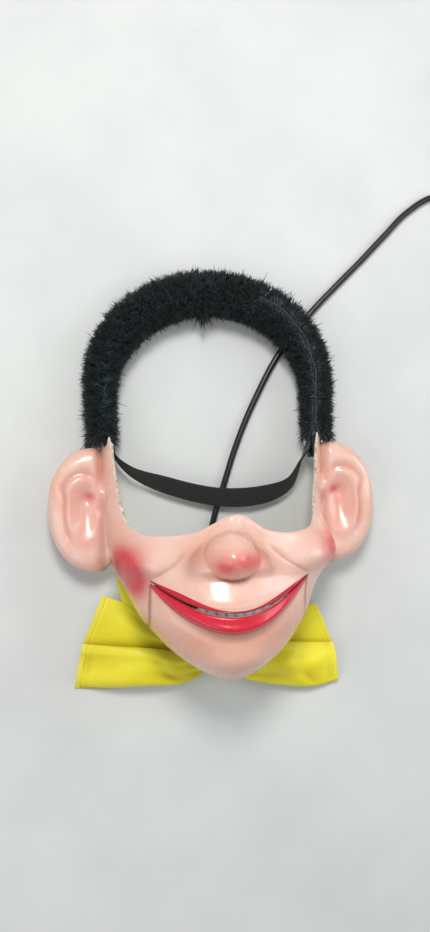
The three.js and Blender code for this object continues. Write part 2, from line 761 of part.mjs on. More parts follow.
// ---------- bow tie ----------
const BOW_Z = [0.4, 20];
const leftWing = prism(
  [
    [-13, -284], [-42, -269], [-60, -252], [-72, -244], [-91, -237], [-98, -256], [-106, -274],
    [-114, -310], [-88, -313], [-62, -311], [-40, -307], [-24, -303], [-13, -301],
  ].reverse(),
  BOW_Z,
);
const rightWing = prism(
  [
    [13, -285], [40, -277], [58, -266], [72, -255], [86, -251.5], [92, -262], [103, -290],
    [106, -305], [102, -320], [84, -324], [62, -322], [44, -318], [28, -309], [13, -303],
  ],
  BOW_Z,
);
const knot = prism(
  [
    [-12.6, -301], [-10, -304], [10, -304], [12.6, -301],
    [12.6, -285], [10, -282], [-10, -282], [-12.6, -285],
  ],
  [0.6, 22],
);
const TACK = [-206, 15]; // ribbon screw, y and z
const tackHole = rod(V(74, ...TACK), V(84.4, ...TACK), 1.5, 10);
const ribbon = (foot) =>
  cutFrom(
    strip(
      [V(79.3, -198, 22), V(79.3, -206, 15), V(74.5, -217, 8), V(72.5, -229, 5.5), V(...foot)],
      [V(0, 0.5, 1), V(0, 0.5, 1), V(0.9, 0, 0.4), V(1, 0.3, 0), V(1, 0.4, 0)],
      9,
      0.8,
      14,
    ),
    tackHole,
  );
function ribbonTack() {
  const profile = [
    [0, 75.4],
    [2.6, 75.6],
    [2.6, 76.9],
    [1.1, 76.9],
    [1.1, 83.9],
    [0, 83.9],
  ].map(([r, h]) => new THREE.Vector2(r, h));
  return new THREE.LatheGeometry(profile, 10).rotateZ(-Math.PI / 2).translate(0, ...TACK);
}

// ---------- the assembly ----------
const paint = (color, roughness, metalness = 0) => ({ color, roughness, metalness });
const SKIN = paint(0xe9b79f, 0.25);
const TEETH = paint(0xf2efe6, 0.3);
const FUR = paint(0x0c0d10, 0.9);
const WEBBING = paint(0x101113, 0.85);
const HOUSING = paint(0x0a0a0b, 0.35);
const STEEL = paint(0xb9bcc0, 0.35, 1);
const BRASS = paint(0xb59a5b, 0.4, 1);
const BLOCK = paint(0xb08a5c, 0.7);
const PLASTIC = paint(0x1a1b1d, 0.5);
const SATIN = paint(0xe6d92b, 0.45);

const mask = new THREE.Group();
const jaw = new THREE.Group();
const squeezeLever = new THREE.Group();

// Merges the corners and turns the faces outwards, so that each piece is one clean closed body.
function add(group, name, geometry, material) {
  const bare = geometry.clone();
  bare.deleteAttribute("normal");
  bare.deleteAttribute("uv");
  const merged = mergeVertices(bare, 1e-4);
  const corners = merged.attributes.position;
  const corner = (_, i) => new THREE.Vector3().fromBufferAttribute(corners, i);
  const vertices = Array.from({ length: corners.count }, corner);
  const triangles = [];
  for (let i = 0; i < merged.index.count; i += 3)
    triangles.push([0, 1, 2].map((k) => merged.index.getX(i + k)));
  const mesh = new THREE.Mesh(geometryOf(vertices, triangles), new THREE.MeshStandardMaterial(material));
  mesh.name = name;
  group.add(mesh);
}
function addPair(group, name, rightGeometry, material) {
  const right = geometryFrom(solid(rightGeometry));
  add(group, `right_${name}`, right, material);
  add(group, `left_${name}`, mirrored(right), material);
}

const shellWithTacks = cutFrom(faceShell, tackHole, mirrored(geometryFrom(solid(tackHole))));
add(mask, "face_shell", shellWithTacks, SKIN);
addPair(mask, "ear", rightEar, SKIN);
add(mask, "upper_teeth", upperTeeth(), TEETH);
add(mask, "headband_core", headband, PLASTIC);
add(mask, "fur_cover", furCover, FUR);
add(mask, "elastic_strap", elasticStrap, WEBBING);
addPair(mask, "temple_rivet", templeRivet(), STEEL);
addPair(mask, "hinge_block", hingeBlock(), BLOCK);
addPair(mask, "pivot_screw", pivotScrew(), STEEL);
add(mask, "cable_stop_block", stopBlock(), BLOCK);
add(mask, "mask_ferrule", maskFerrule, BRASS);
add(mask, "pull_wire", pullWire, STEEL);
add(mask, "spring_peg", shellPeg, BLOCK);
add(mask, "return_spring", returnSpring, STEEL);
add(mask, "cable_housing", cableHousing, HOUSING);
add(mask, "cable_coil", coilRing().translate(...COIL_AT, 0), HOUSING);
add(mask, "coil_tie", coilTie().translate(...COIL_AT, 0), WEBBING);
add(mask, "cable_lead", cableLead, HOUSING);
add(mask, "grip_body", gripBody(), PLASTIC);
add(mask, "grip_ferrule", gripFerrule, BRASS);
add(mask, "grip_wire", gripWire, STEEL);
add(mask, "lever_pin", leverPin, STEEL);
add(mask, "bow_left_wing", leftWing, SATIN);
add(mask, "bow_right_wing", rightWing, SATIN);
add(mask, "bow_knot", knot, SATIN);
add(mask, "right_ribbon", ribbon([71.5, -248, 5]), SATIN);
add(mask, "left_ribbon", mirrored(ribbon([69.5, -241, 5])), SATIN);
addPair(mask, "ribbon_tack", ribbonTack(), STEEL);

add(jaw, "jaw_shell", jawShell, SKIN);
add(jaw, "right_jaw_arm", rightArm, STEEL);
add(jaw, "left_jaw_arm", leftArm, STEEL);
armScrews.forEach((at, i) => {
  const screw = join(
    screwInto(1, at, SCREW_HEAD + 1.4, SCREW_HEAD, 2.4),
    screwInto(1, at, SCREW_HEAD + 0.2, 1.8, 1.1),
  );
  addPair(jaw, `arm_screw_${i + 1}`, screw, STEEL);
});
add(jaw, "wire_nipple", maskNipple, BRASS);

add(squeezeLever, "squeeze_lever", lever(), PLASTIC);
add(squeezeLever, "lever_nipple", leverNipple, BRASS);

const puppetMask = new THREE.Group();
puppetMask.add(mask, jaw, squeezeLever);
export default puppetMask;
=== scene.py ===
import math

import bmesh
import bpy
import numpy as np
from mathutils import Matrix, Vector


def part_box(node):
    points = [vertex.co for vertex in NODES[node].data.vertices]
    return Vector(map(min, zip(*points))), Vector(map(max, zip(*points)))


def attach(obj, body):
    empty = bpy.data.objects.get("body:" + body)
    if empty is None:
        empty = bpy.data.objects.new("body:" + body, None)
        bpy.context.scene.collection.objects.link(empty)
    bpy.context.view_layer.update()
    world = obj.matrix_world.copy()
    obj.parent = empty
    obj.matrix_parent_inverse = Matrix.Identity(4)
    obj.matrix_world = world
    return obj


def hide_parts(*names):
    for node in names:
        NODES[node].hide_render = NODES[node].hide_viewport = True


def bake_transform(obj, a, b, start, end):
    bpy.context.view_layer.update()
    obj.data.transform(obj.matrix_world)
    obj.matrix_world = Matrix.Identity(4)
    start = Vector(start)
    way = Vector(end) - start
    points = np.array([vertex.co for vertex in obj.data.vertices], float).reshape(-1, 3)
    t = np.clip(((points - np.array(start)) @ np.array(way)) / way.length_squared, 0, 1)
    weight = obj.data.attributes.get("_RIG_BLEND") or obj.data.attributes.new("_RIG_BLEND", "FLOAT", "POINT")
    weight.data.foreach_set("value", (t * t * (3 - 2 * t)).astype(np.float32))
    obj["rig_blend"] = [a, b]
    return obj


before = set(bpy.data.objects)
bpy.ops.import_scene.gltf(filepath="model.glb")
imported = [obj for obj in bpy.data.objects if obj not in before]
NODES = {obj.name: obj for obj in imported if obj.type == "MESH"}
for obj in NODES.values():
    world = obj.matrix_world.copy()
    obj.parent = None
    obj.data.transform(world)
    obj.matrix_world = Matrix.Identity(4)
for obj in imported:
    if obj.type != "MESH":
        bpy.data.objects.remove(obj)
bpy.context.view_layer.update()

MM = 0.001
rng = np.random.default_rng(11)

# ---------- camera, floor and light ----------
VIEW_AZIMUTH = math.radians(8)  # from the mask's own left
VIEW_ROLL = math.radians(1.75)
VIEW_TARGET = Vector((-0.0025, -0.137, 0.050))
VIEW_DISTANCE = 0.700
LENS = 35.6


def make_camera():
    back = Vector((-math.sin(VIEW_AZIMUTH), 0, math.cos(VIEW_AZIMUTH)))
    right = Vector((0, 1, 0)).cross(back).normalized()
    up = back.cross(right)
    cos, sin = math.cos(VIEW_ROLL), math.sin(VIEW_ROLL)
    axes = Matrix((right * cos - up * sin, up * cos + right * sin, back)).transposed()
    camera = bpy.data.objects.new("camera", bpy.data.cameras.new("camera"))
    camera.data.lens = LENS
    camera.matrix_world = Matrix.Translation(VIEW_TARGET + back * VIEW_DISTANCE) @ axes.to_4x4()
    bpy.context.scene.collection.objects.link(camera)
    bpy.context.scene.camera = camera


def area_light(name, place, aim, size, watts, colour=(1, 1, 1)):
    light = bpy.data.lights.new(name, "AREA")
    light.shape = "DISK"
    light.size = size
    light.energy = watts
    light.color = colour
    lamp = bpy.data.objects.new(name, light)
    lamp.location = place
    lamp.rotation_mode = "QUATERNION"
    lamp.rotation_quaternion = (Vector(aim) - Vector(place)).to_track_quat("-Z", "Y")
    bpy.context.scene.collection.objects.link(lamp)


def make_light():
    face = (0, -0.2, 0.05)
    area_light("key", (-0.10, 0.42, 0.95), face, 0.34, 7.6, (1, 0.985, 0.96))
    area_light("fill", (-0.75, -0.55, 0.75), face, 0.9, 2.4)
    area_light("rim", (0.85, 0.10, 0.55), face, 0.6, 3.0, (0.95, 0.98, 1))
    world = bpy.data.worlds.new("studio")
    world.use_nodes = True
    world.node_tree.nodes["Background"].inputs["Color"].default_value = (0.86, 0.88, 0.9, 1)
    world.node_tree.nodes["Background"].inputs["Strength"].default_value = 0.5
    bpy.context.scene.world = world
    bpy.context.scene.view_settings.view_transform = "Standard"


# ---------- mesh helpers ----------
def hermite(u, a, b, slope_a, slope_b):
    return (
        (2 * u**3 - 3 * u**2 + 1) * a
        + (u**3 - 2 * u**2 + u) * slope_a
        + (-2 * u**3 + 3 * u**2) * b
        + (u**3 - u**2) * slope_b
    )


def spline(points, samples):
    """The CAD's own curve: centripetal Catmull-Rom through the points."""
    p = np.asarray(points, float)
    p = np.vstack([2 * p[0] - p[1], p, 2 * p[-1] - p[-2]])
    t = np.linspace(0, len(points) - 1, samples)
    k = np.minimum(t.astype(int), len(points) - 2)
    a, b, c, d = p[k], p[k + 1], p[k + 2], p[k + 3]

    def gap(v, w):
        return np.sqrt(np.linalg.norm(w - v, axis=1))[:, None]

    here = gap(b, c)
    here = np.where(here < 1e-4, 1.0, here)
    before, after = (np.where(side < 1e-4, here, side) for side in (gap(a, b), gap(c, d)))
    slope_b = ((b - a) / before - (c - a) / (before + here) + (c - b) / here) * here
    slope_c = ((c - b) / here - (d - b) / (here + after) + (d - c) / after) * here
    return hermite((t - k)[:, None], b, c, slope_b, slope_c)


def evenly(path, samples):
    """The same curve with points at equal distances."""
    path = np.asarray(path, float)
    run = np.r_[0, np.cumsum(np.linalg.norm(np.diff(path, axis=0), axis=1))]
    where = np.linspace(0, run[-1], samples)
    return np.stack([np.interp(where, run, path[:, i]) for i in range(path.shape[1])], 1)


def smooth_curve(points, samples):
    return evenly(spline(points, 40 * len(points)), samples)


def path_length(path):
    return float(np.linalg.norm(np.diff(path, axis=0), axis=1).sum())


def unit(v):
    return v / np.maximum(np.linalg.norm(v, axis=-1, keepdims=True), 1e-9)


def grid_quads(rows, cols, start=0, closed=False):
    """Quads of a grid of vertices, [row][column]; closed joins the last column to the first."""
    r, c = np.meshgrid(np.arange(rows - 1), np.arange(cols if closed else cols - 1), indexing="ij")
    c2 = (c + 1) % cols
    corners = [r * cols + c, r * cols + c2, (r + 1) * cols + c2, (r + 1) * cols + c]
    return (np.stack(corners, -1).reshape(-1, 4) + start).tolist()


def new_object(name, data):
    obj = bpy.data.objects.new(name, data)
    bpy.context.scene.collection.objects.link(obj)
    return obj


def mesh_piece(name, points, faces, materials, sharp=50.0):
    """A new object from points in mm; its normals are turned outwards."""
    mesh = bpy.data.meshes.new(name)
    mesh.from_pydata((np.asarray(points, float) * MM).tolist(), [], faces)
    for material in materials:
        mesh.materials.append(material)
    tidy = bmesh.new()
    tidy.from_mesh(mesh)
    bmesh.ops.recalc_face_normals(tidy, faces=tidy.faces)
    tidy.to_mesh(mesh)
    tidy.free()
    mesh.shade_smooth()
    mesh.set_sharp_from_angle(angle=math.radians(sharp))
    return new_object(name, mesh)


def paint_field(obj, **fields):
    """Stores one number a vertex under each name, for the materials to read."""
    for name, values in fields.items():
        layer = obj.data.attributes.new(name, "FLOAT", "POINT")
        layer.data.foreach_set("value", np.asarray(values, np.float32).ravel())


def place(obj, body, slot, *nodes):
    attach(obj, body)
    if nodes:
        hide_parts(*nodes)
    return obj


def plate_faces(rows, cols):
    """Closed plate from a front grid followed by a back grid: front, back and border quads."""
    size = rows * cols
    front = grid_quads(rows, cols)
    back = [q[::-1] for q in grid_quads(rows, cols, size)]
    edge = (
        [(0, c) for c in range(cols - 1)]
        + [(r, cols - 1) for r in range(rows - 1)]
        + [(rows - 1, c) for c in range(cols - 1, 0, -1)]
        + [(r, 0) for r in range(rows - 1, 0, -1)]
    )
    loop = [r * cols + c for r, c in edge]
    border = [
        (b, a, a + size, b + size) for a, b in zip(loop, loop[1:] + loop[:1])
    ]
    return front, back, border


def stack(name, rings, materials, sharp=50.0):
    """Closed solid through rings of equal length."""
    rings = np.asarray(rings, float)
    count, around = rings.shape[:2]
    faces = grid_quads(count, around, closed=True)
    faces += [tuple(range(around))[::-1], tuple(range((count - 1) * around, count * around))]
    return mesh_piece(name, rings.reshape(-1, 3), faces, materials, sharp)


def carried_frames(path):
    """Tangent and two cross directions along a path, with the least twist."""
    tangent = unit(np.gradient(path, axis=0))
    side = np.zeros_like(path)
    side[0] = np.cross(tangent[0], [0.31, 0.17, 0.93])
    side[0] = unit(side[0])
    for i in range(1, len(path)):
        side[i] = unit(side[i - 1] - side[i - 1].dot(tangent[i]) * tangent[i])
    return tangent, side, np.cross(tangent, side)


def tube_rings(path, radius, around):
    """Rings of a tube; radius is one number, one for each point or one for each vertex."""
    _, side, up = carried_frames(path)
    angle = np.linspace(0, 2 * np.pi, around, endpoint=False)
    radius = np.asarray(radius, float)
    if radius.ndim == 1:
        radius = radius[:, None]
    wide = np.broadcast_to(radius, (len(path), around))[..., None]
    across = np.cos(angle)[None, :, None] * side[:, None] + np.sin(angle)[None, :, None] * up[:, None]
    return path[:, None] + wide * across


# ---------- material helpers ----------
def linear(red, green, blue):
    """A colour picked in 0..255 display values, as the shader wants it."""
    shares = [c / 255 for c in (red, green, blue)]
    return (*(((c + 0.055) / 1.055) ** 2.4 if c > 0.0393 else c / 12.92 for c in shares), 1)


class Paint:
    """One Principled material and short ways to feed it."""

    def __init__(self, name, **settings):
        self.material = bpy.data.materials.new(name)
        self.material.use_nodes = True
        self.tree = self.material.node_tree
        self.shader = self.tree.nodes["Principled BSDF"]
        for key, value in settings.items():
            self.shader.inputs[key.replace("_", " ")].default_value = value
        self.where = self.tree.nodes.new("ShaderNodeTexCoord").outputs["Object"]

    def node(self, kind, inputs, **settings):
        made = self.tree.nodes.new("ShaderNode" + kind)
        for key, value in settings.items():
            setattr(made, key, value)
        for key, value in inputs.items():
            if isinstance(value, bpy.types.NodeSocket):
                self.tree.links.new(value, made.inputs[key])
            else:
                made.inputs[key].default_value = value
        return made

    def stretched(self, scale):
        return self.node("Mapping", {"Vector": self.where, "Scale": scale}).outputs["Vector"]

    def noise(self, scale, detail=3.0, roughness=0.55, stretch=None):
        vector = self.stretched(stretch) if stretch else self.where
        inputs = {"Vector": vector, "Scale": scale, "Detail": detail, "Roughness": roughness}
        return self.node("TexNoise", inputs).outputs["Fac"]

    def cells(self, scale):
        return self.node("TexVoronoi", {"Vector": self.where, "Scale": scale}).outputs["Distance"]

    def field(self, name):
        return self.node("Attribute", {}, attribute_name=name).outputs["Fac"]

    def maths(self, operation, a, b=0.0):
        return self.node("Math", {0: a, 1: b}, operation=operation).outputs[0]

    def times(self, a, b):
        return self.maths("MULTIPLY", a, b)

    def between(self, value, low, high, start=0.0, end=1.0):
        """value mapped from low..high to start..end, smoothly."""
        inputs = {0: value, 1: low, 2: high, 3: start, 4: end}
        return self.node("MapRange", inputs, interpolation_type="SMOOTHSTEP").outputs[0]

    def mix(self, share, a, b):
        return self.node("Mix", {0: share, 6: a, 7: b}, data_type="RGBA").outputs[2]

    def tint(self, value, low, high, first, second):
        """From the first colour to the second as value goes from low to high."""
        return self.mix(self.between(value, low, high), linear(*first), linear(*second))

    def bump(self, height, depth_mm, strength=1.0, below=None):
        inputs = {"Height": height, "Distance": depth_mm * MM, "Strength": strength}
        if below:
            inputs["Normal"] = below
        return self.node("Bump", inputs).outputs["Normal"]

    def finish(self, colour, rough, normal=None):
        for key, value in (("Base Color", colour), ("Roughness", rough), ("Normal", normal)):
            if value:
                self.tree.links.new(value, self.shader.inputs[key])
        return self.material


FLESH = linear(232, 196, 182)
FLESH_DEEP = linear(220, 158, 132)
BLUSH = linear(208, 24, 46)
NOSE_RED = linear(219, 96, 92)
LIP = linear(208, 28, 54)
# Lip red in painted shade.
LIP_DARK = linear(120, 22, 34)
# Brown of the painted shade in hollows and creases, and of the fine dark specks.
GROOVE = linear(138, 66, 48)
RAW = linear(226, 214, 196)


def skin_material():
    """Gloss enamel over a hand-made shell, with airbrushed colour."""
    p = Paint(
        "painted_skin",
        Coat_Weight=0.4,
        Coat_Roughness=0.18,
        Specular_IOR_Level=0.4,
        Subsurface_Weight=0.06,
        Subsurface_Radius=(0.9, 0.35, 0.2),
        Subsurface_Scale=0.002,
    )
    mottle = p.between(p.noise(38, 4), 0.3, 0.72)
    colour = p.mix(mottle, FLESH, p.mix(0.5, FLESH, FLESH_DEEP))
    cloud = p.between(p.noise(70, 3), 0.25, 0.75, 0.92, 1.0)
    for name, strength, paint in (
        # Deeper flesh, and painted shade beside the nose, under the lip, by the saw cuts and behind the
        # ears.
        ("tan", 0.75, FLESH_DEEP),
        ("nose_red", cloud, NOSE_RED),
        ("blush", cloud, BLUSH),
        # Brown painted shade in the hollows, the folds, the saw cuts and under the nose.
        ("cavity", 0.8, GROOVE),
    ):
        colour = p.mix(p.times(p.field(name), strength), colour, paint)
    lip = p.between(p.maths("ADD", p.field("lip"), p.times(p.noise(900, 2), 0.12)), 0.5, 0.62)
    # The lips darken where painted shade falls on them.
    colour = p.mix(lip, colour, p.mix(p.field("lip_dark"), LIP, LIP_DARK))
    ragged = p.maths("ADD", p.field("raw"), p.times(p.noise(420, 4, 0.7), 0.7))
    raw = p.between(ragged, 0.78, 0.92)
    colour = p.mix(raw, colour, RAW)
    speck = p.between(p.noise(1500, 2, 0.6), 0.68, 0.76, 0.0, 0.22)
    colour = p.mix(speck, colour, GROOVE)
    rough = p.between(p.noise(55, 3), 0.3, 0.7, 0.2, 0.34)
    rough = p.maths("MAXIMUM", rough, p.times(raw, 0.8))
    lumps = p.bump(p.noise(95, 2, 0.5), 0.5, 0.8)
    return p.finish(colour, rough, p.bump(p.noise(1100, 3), 0.05, 0.5, lumps))


def fibre_material():
    """Bare moulded fibre on the inside and on the cut edges."""
    p = Paint("bare_fibre")
    strands = p.noise(160, 6, 0.7, (1, 2.6, 1))
    colour = p.tint(strands, 0.3, 0.7, (216, 208, 192), (172, 156, 130))
    colour = p.mix(p.between(p.noise(24, 2), 0.45, 0.75, 0, 0.55), colour, RAW)
    return p.finish(colour, p.between(strands, 0.2, 0.8, 0.72, 0.95), p.bump(strands, 0.6, 0.8))


def tooth_material():
    p = Paint("tooth_enamel", Coat_Weight=0.8, Coat_Roughness=0.1)
    colour = p.tint(p.noise(260, 3), 0.3, 0.75, (250, 246, 252), (240, 232, 238))
    # Dark red on the strip of gums, which past the teeth stands in for the shade inside the mouth.
    colour = p.mix(p.field("gum"), colour, linear(96, 30, 34))
    rough = p.between(p.noise(500, 2), 0.3, 0.7, 0.18, 0.34)
    return p.finish(colour, rough, p.bump(p.noise(700, 2), 0.08, 0.5))


def fur_material():
    """Black pile of random tone, with a painted cold sheen where the field passes 1."""
    p = Paint(
        "black_fur",
        Sheen_Weight=0.2,
        Sheen_Roughness=0.4,
        Sheen_Tint=(0.45, 0.6, 0.62, 1),
        Specular_IOR_Level=0.5,
    )
    shade = p.field("strand")
    colour = p.tint(shade, 0.2, 0.95, (10, 12, 13), (42, 52, 56))
    # Painted cold sheen where the field passes 1.
    colour = p.mix(p.between(shade, 1.0, 1.6), colour, linear(96, 124, 138))
    colour = p.mix(p.between(p.noise(60, 2), 0.5, 0.8, 0, 0.6), colour, linear(16, 32, 36))
    return p.finish(colour, p.between(shade, 0, 1, 0.62, 0.34))


def backing_material():
    """Knitted backing under the pile."""
    p = Paint("fur_backing", Sheen_Weight=0.2)
    knit = p.cells(900.0)
    colour = p.tint(knit, 0.1, 0.7, (16, 18, 22), (5, 6, 8))
    return p.finish(colour, p.between(knit, 0, 0.8, 0.75, 0.95), p.bump(knit, 0.3))


def seam_material():
    p = Paint("fur_seam_piping", Sheen_Weight=0.5, Sheen_Roughness=0.3)
    twist = p.noise(1400, 2, 0.6, (1, 3, 1))
    # Lighter blue-grey on the twists: painted glints along the seam.
    colour = p.tint(twist, 0.35, 0.7, (20, 26, 30), (70, 84, 92))
    return p.finish(colour, p.between(twist, 0.2, 0.8, 0.35, 0.6), p.bump(twist, 0.2))


PICK_MM = 0.9  # distance between the crosswise threads of the webbing


def webbing_material():
    """Woven elastic: ribs along the band and fine picks across it."""
    p = Paint("woven_elastic", Sheen_Weight=0.25, Sheen_Roughness=0.5)
    pick = p.maths("SINE", p.times(p.field("along"), 2 * math.pi / PICK_MM))
    thread = p.times(p.field("rib"), p.between(pick, -1, 1, 0.55, 1.0))
    fuzz = p.noise(1300, 3)
    # Painted light and shade on the weave: lighter on the rib crests, darker between the ribs and the picks.
    colour = p.tint(thread, 0.1, 1, (7, 7, 9), (34, 35, 40))
    colour = p.mix(p.between(fuzz, 0.55, 0.8, 0, 0.4), colour, linear(52, 54, 60))
    return p.finish(colour, p.between(fuzz, 0.2, 0.8, 0.7, 0.92), p.bump(thread, 0.18, 0.8))


def satin_material():
    """Yellow satin with a fine diagonal weave, and painted shade in its folds."""
    p = Paint(
        "yellow_satin",
        Sheen_Weight=0.35,
        Sheen_Roughness=0.35,
        Sheen_Tint=(1, 0.97, 0.55, 1),
        Specular_IOR_Level=0.4,
    )
    waves = {"Vector": p.where, "Scale": 420.0, "Distortion": 1.2, "Detail": 2.0}
    weft = p.node("TexWave", waves, bands_direction="DIAGONAL").outputs["Fac"]
    warp = p.noise(900, 2, 0.5, (1, 4, 1))
    cloth = p.maths("ADD", p.times(weft, 0.5), p.times(warp, 0.5))
    colour = p.tint(p.noise(32, 3), 0.3, 0.7, (240, 228, 48), (230, 214, 36))
    # Painted shade in the folds and pleats.
    colour = p.mix(p.times(p.field("cavity"), 0.8), colour, linear(168, 140, 10))
    colour = p.mix(p.times(p.field("hem"), 0.25), colour, linear(240, 236, 110))
    colour = p.mix(p.between(cloth, 0.35, 0.75, 0, 0.14), colour, linear(150, 132, 14))
    lumps = p.bump(p.noise(120, 3, 0.6), 0.5, 0.35)
    rough = p.between(cloth, 0.2, 0.8, 0.4, 0.56)
    return p.finish(colour, rough, p.bump(cloth, 0.06, 0.6, lumps))


def cable_material():
    p = Paint("cable_housing_pvc", Coat_Weight=0.15, Coat_Roughness=0.3)
    scuff = p.noise(600, 4, 0.65)
    colour = p.tint(scuff, 0.5, 0.8, (13, 13, 15), (44, 45, 48))
    return p.finish(colour, p.between(scuff, 0.3, 0.8, 0.28, 0.5), p.bump(p.noise(2200, 2), 0.03, 0.6))


def moulded_material(name, dark, light, rough_low, rough_high):
    """Fine-grained moulded plastic with handling wear."""
    p = Paint(name, Specular_IOR_Level=0.45)
    colour = p.tint(p.noise(45, 5, 0.65), 0.52, 0.74, dark, light)
    rough = p.between(p.noise(120, 3), 0.3, 0.7, rough_low, rough_high)
    return p.finish(colour, rough, p.bump(p.cells(1500.0), 0.06, 0.7))


def metal_material(name, bright, dull, stretch):
    """Machined or plated metal, brushed along one direction, with a little tarnish."""
    p = Paint(name, Metallic=1.0)
    brush = p.noise(500, 3, 0.6, stretch)
    colour = p.tint(p.noise(110, 4, 0.65), 0.5, 0.78, bright, dull)
    return p.finish(colour, p.between(brush, 0.25, 0.75, 0.22, 0.42), p.bump(brush, 0.03, 0.5))


def wood_material():
    p = Paint("sanded_block_wood")
    grain = p.noise(90, 5, 0.65, (6, 1, 6))
    rings = {"Vector": p.stretched((5, 0.6, 5)), "Scale": 60.0, "Distortion": 6.0}
    ring = p.node("TexWave", rings).outputs["Fac"]
    colour = p.tint(grain, 0.3, 0.7, (186, 146, 98), (140, 98, 58))
    colour = p.mix(p.times(ring, 0.35), colour, linear(112, 76, 42))
    return p.finish(colour, p.between(grain, 0.2, 0.8, 0.6, 0.8), p.bump(grain, 0.12, 0.7))


def floor_material():
    p = Paint("pale_floor")
    cloud = p.noise(9, 4)
    colour = p.tint(cloud, 0.3, 0.7, (214, 216, 214), (206, 208, 207))
    return p.finish(colour, p.between(cloud, 0.3, 0.7, 0.75, 0.85))


SKIN = skin_material()
BARE = fibre_material()
TOOTH = tooth_material()
FUR = fur_material()
BACKING = backing_material()
PIPING = seam_material()
WEBBING = webbing_material()
SATIN = satin_material()
CABLE = cable_material()
BAND_PLASTIC = moulded_material("band_plastic", (18, 18, 20), (40, 40, 42), 0.45, 0.65)
GRIP_PLASTIC = moulded_material("grip_plastic", (22, 22, 24), (62, 62, 64), 0.34, 0.6)
STEEL = metal_material("zinc_plated_steel", (196, 197, 200), (128, 130, 134), (1, 12, 1))
BRASS = metal_material("brass", (214, 178, 104), (138, 104, 52), (10, 1, 1))
WOOD = wood_material()


# ---------- the face surface: the CAD's oval with a narrower chin, cheeks and features ----------
WALL = 3.0
SECTIONS = np.array([  # across the head: height y, half width, side rim z, centre line z
    [-104, 87.5, 12, 80],
    [-150, 89, 5, 84],
    [-190, 88, 3, 88],
    [-214, 83, 10, 92],
    [-232, 73.5, 26, 94.5],
    [-248, 65.5, 37, 95],
    [-262, 55, 44, 93],
    [-276, 42, 49, 88],
    [-288, 26, 53, 79],
    [-295, 12, 56.5, 68],
    [-298, 3, 59, 61],
])
CHIN_Y = -298.0
CHEEK_Y = -205.0
MOUTH_HALF = 57.5
MOUTH_CORNER_Y = -220.0
MOUTH_DROP = 21.0
MOUTH_GAP = 2.0
CUT = 0.8
SLOT_HALF = 59.0
SLOT_END_Y = -256.0
ARCH_HALF = 86.0
TEMPLE_Y = -112.5


def section(y, column):
    last = len(SECTIONS) - 1
    ys, values = SECTIONS[:, 0], SECTIONS[:, column]
    high, low = np.minimum(np.arange(last + 1) + 1, last), np.maximum(np.arange(last + 1) - 1, 0)
    slopes = (values[high] - values[low]) / (ys[high] - ys[low])
    k = np.searchsorted(-ys[1:last], -np.asarray(y, float))
    span = ys[k + 1] - ys[k]
    t = np.clip((y - ys[k]) / span, 0, 1)
    return hermite(t, values[k], values[k + 1], slopes[k] * span, slopes[k + 1] * span)


def hill(d, width):
    return np.exp(-((d / width) ** 2) / 2)


def ramp(value, low, high):
    t = np.clip((value - low) / (high - low), 0, 1)
    return t * t * (3 - 2 * t)


def dome(x, y, rx, ry):
    return np.sqrt(np.maximum(0, 1 - (x / rx) ** 2 - (y / ry) ** 2))


def lip_line(x):
    return MOUTH_CORNER_Y - MOUTH_DROP * (1 - (np.abs(x) / MOUTH_HALF) ** 2)


def in_mouth(x, power=1.0):
    """1 in the middle of the mouth and 0 at its corners."""
    return np.maximum(0, 1 - (np.abs(x) / (MOUTH_HALF + 0.5)) ** 2) ** power


def jaw_line(x):
    """Upper edge of the jaw, below the parting."""
    return lip_line(x) - MOUTH_GAP * (1 - (np.abs(x) / MOUTH_HALF) ** 2) - CUT


def lower_lip_width(x):
    return 2.4 + 11.0 * in_mouth(x, 0.75)


def smile_distance(x, y):
    """Signed distance across the smile fold, positive on the cheek side."""
    bow = 0.035 * (y + 207) ** 2 - 2.2
    return (np.abs(x) - 32 + 1.25 * (y + 199) - bow) * 0.62


def smile_extent(y):
    """1 along the smile fold and 0 beyond its ends."""
    return ramp(y, -220, -214) * ramp(-y, 194, 201)


def wing_share(x, y):
    """Distance from the nose's middle as a share of its half width, which grows downwards."""
    return np.abs(x) / (12 + 18 * ramp(-y, 182, 209))


def nose(x, y):
    """A round tip on a nose that widens downwards to soft wings."""
    flank = 11.5 * np.maximum(0, 1 - wing_share(x, y) ** 2) ** 0.8
    flank = flank * ramp(y, -219.5, -211.5) * ramp(-y, 178, 193)
    tip = 24 * dome(x - 1, y + 202.5, 19.5, 17.2) ** 1.35
    bridge = 9 * hill(x - 4, 8) * hill(y + 178, 11)
    blend = 3.4
    joined = np.log(sum(np.exp(part / blend) for part in (flank, tip, bridge)) / 3) * blend
    ring = np.hypot((x - 1) / 18.2, (y + 202) / 16.8)
    crease = -1.3 * hill(ring - 1.0, 0.08) * ramp(y, -203, -193)
    return joined + crease


def muzzle(x, y):
    """The mouth stands forward: a straight slope down to the lip, and a soft fall below it."""
    mouth = lip_line(x)
    slope = np.clip((-218 - y) / (-218 - np.minimum(mouth, -224)), 0, 1) ** 1.3
    below = hill(np.minimum(y - mouth, 0), 15)
    return 7.0 * np.where(y > mouth, slope, below) * in_mouth(x - 1.5, 1.2)


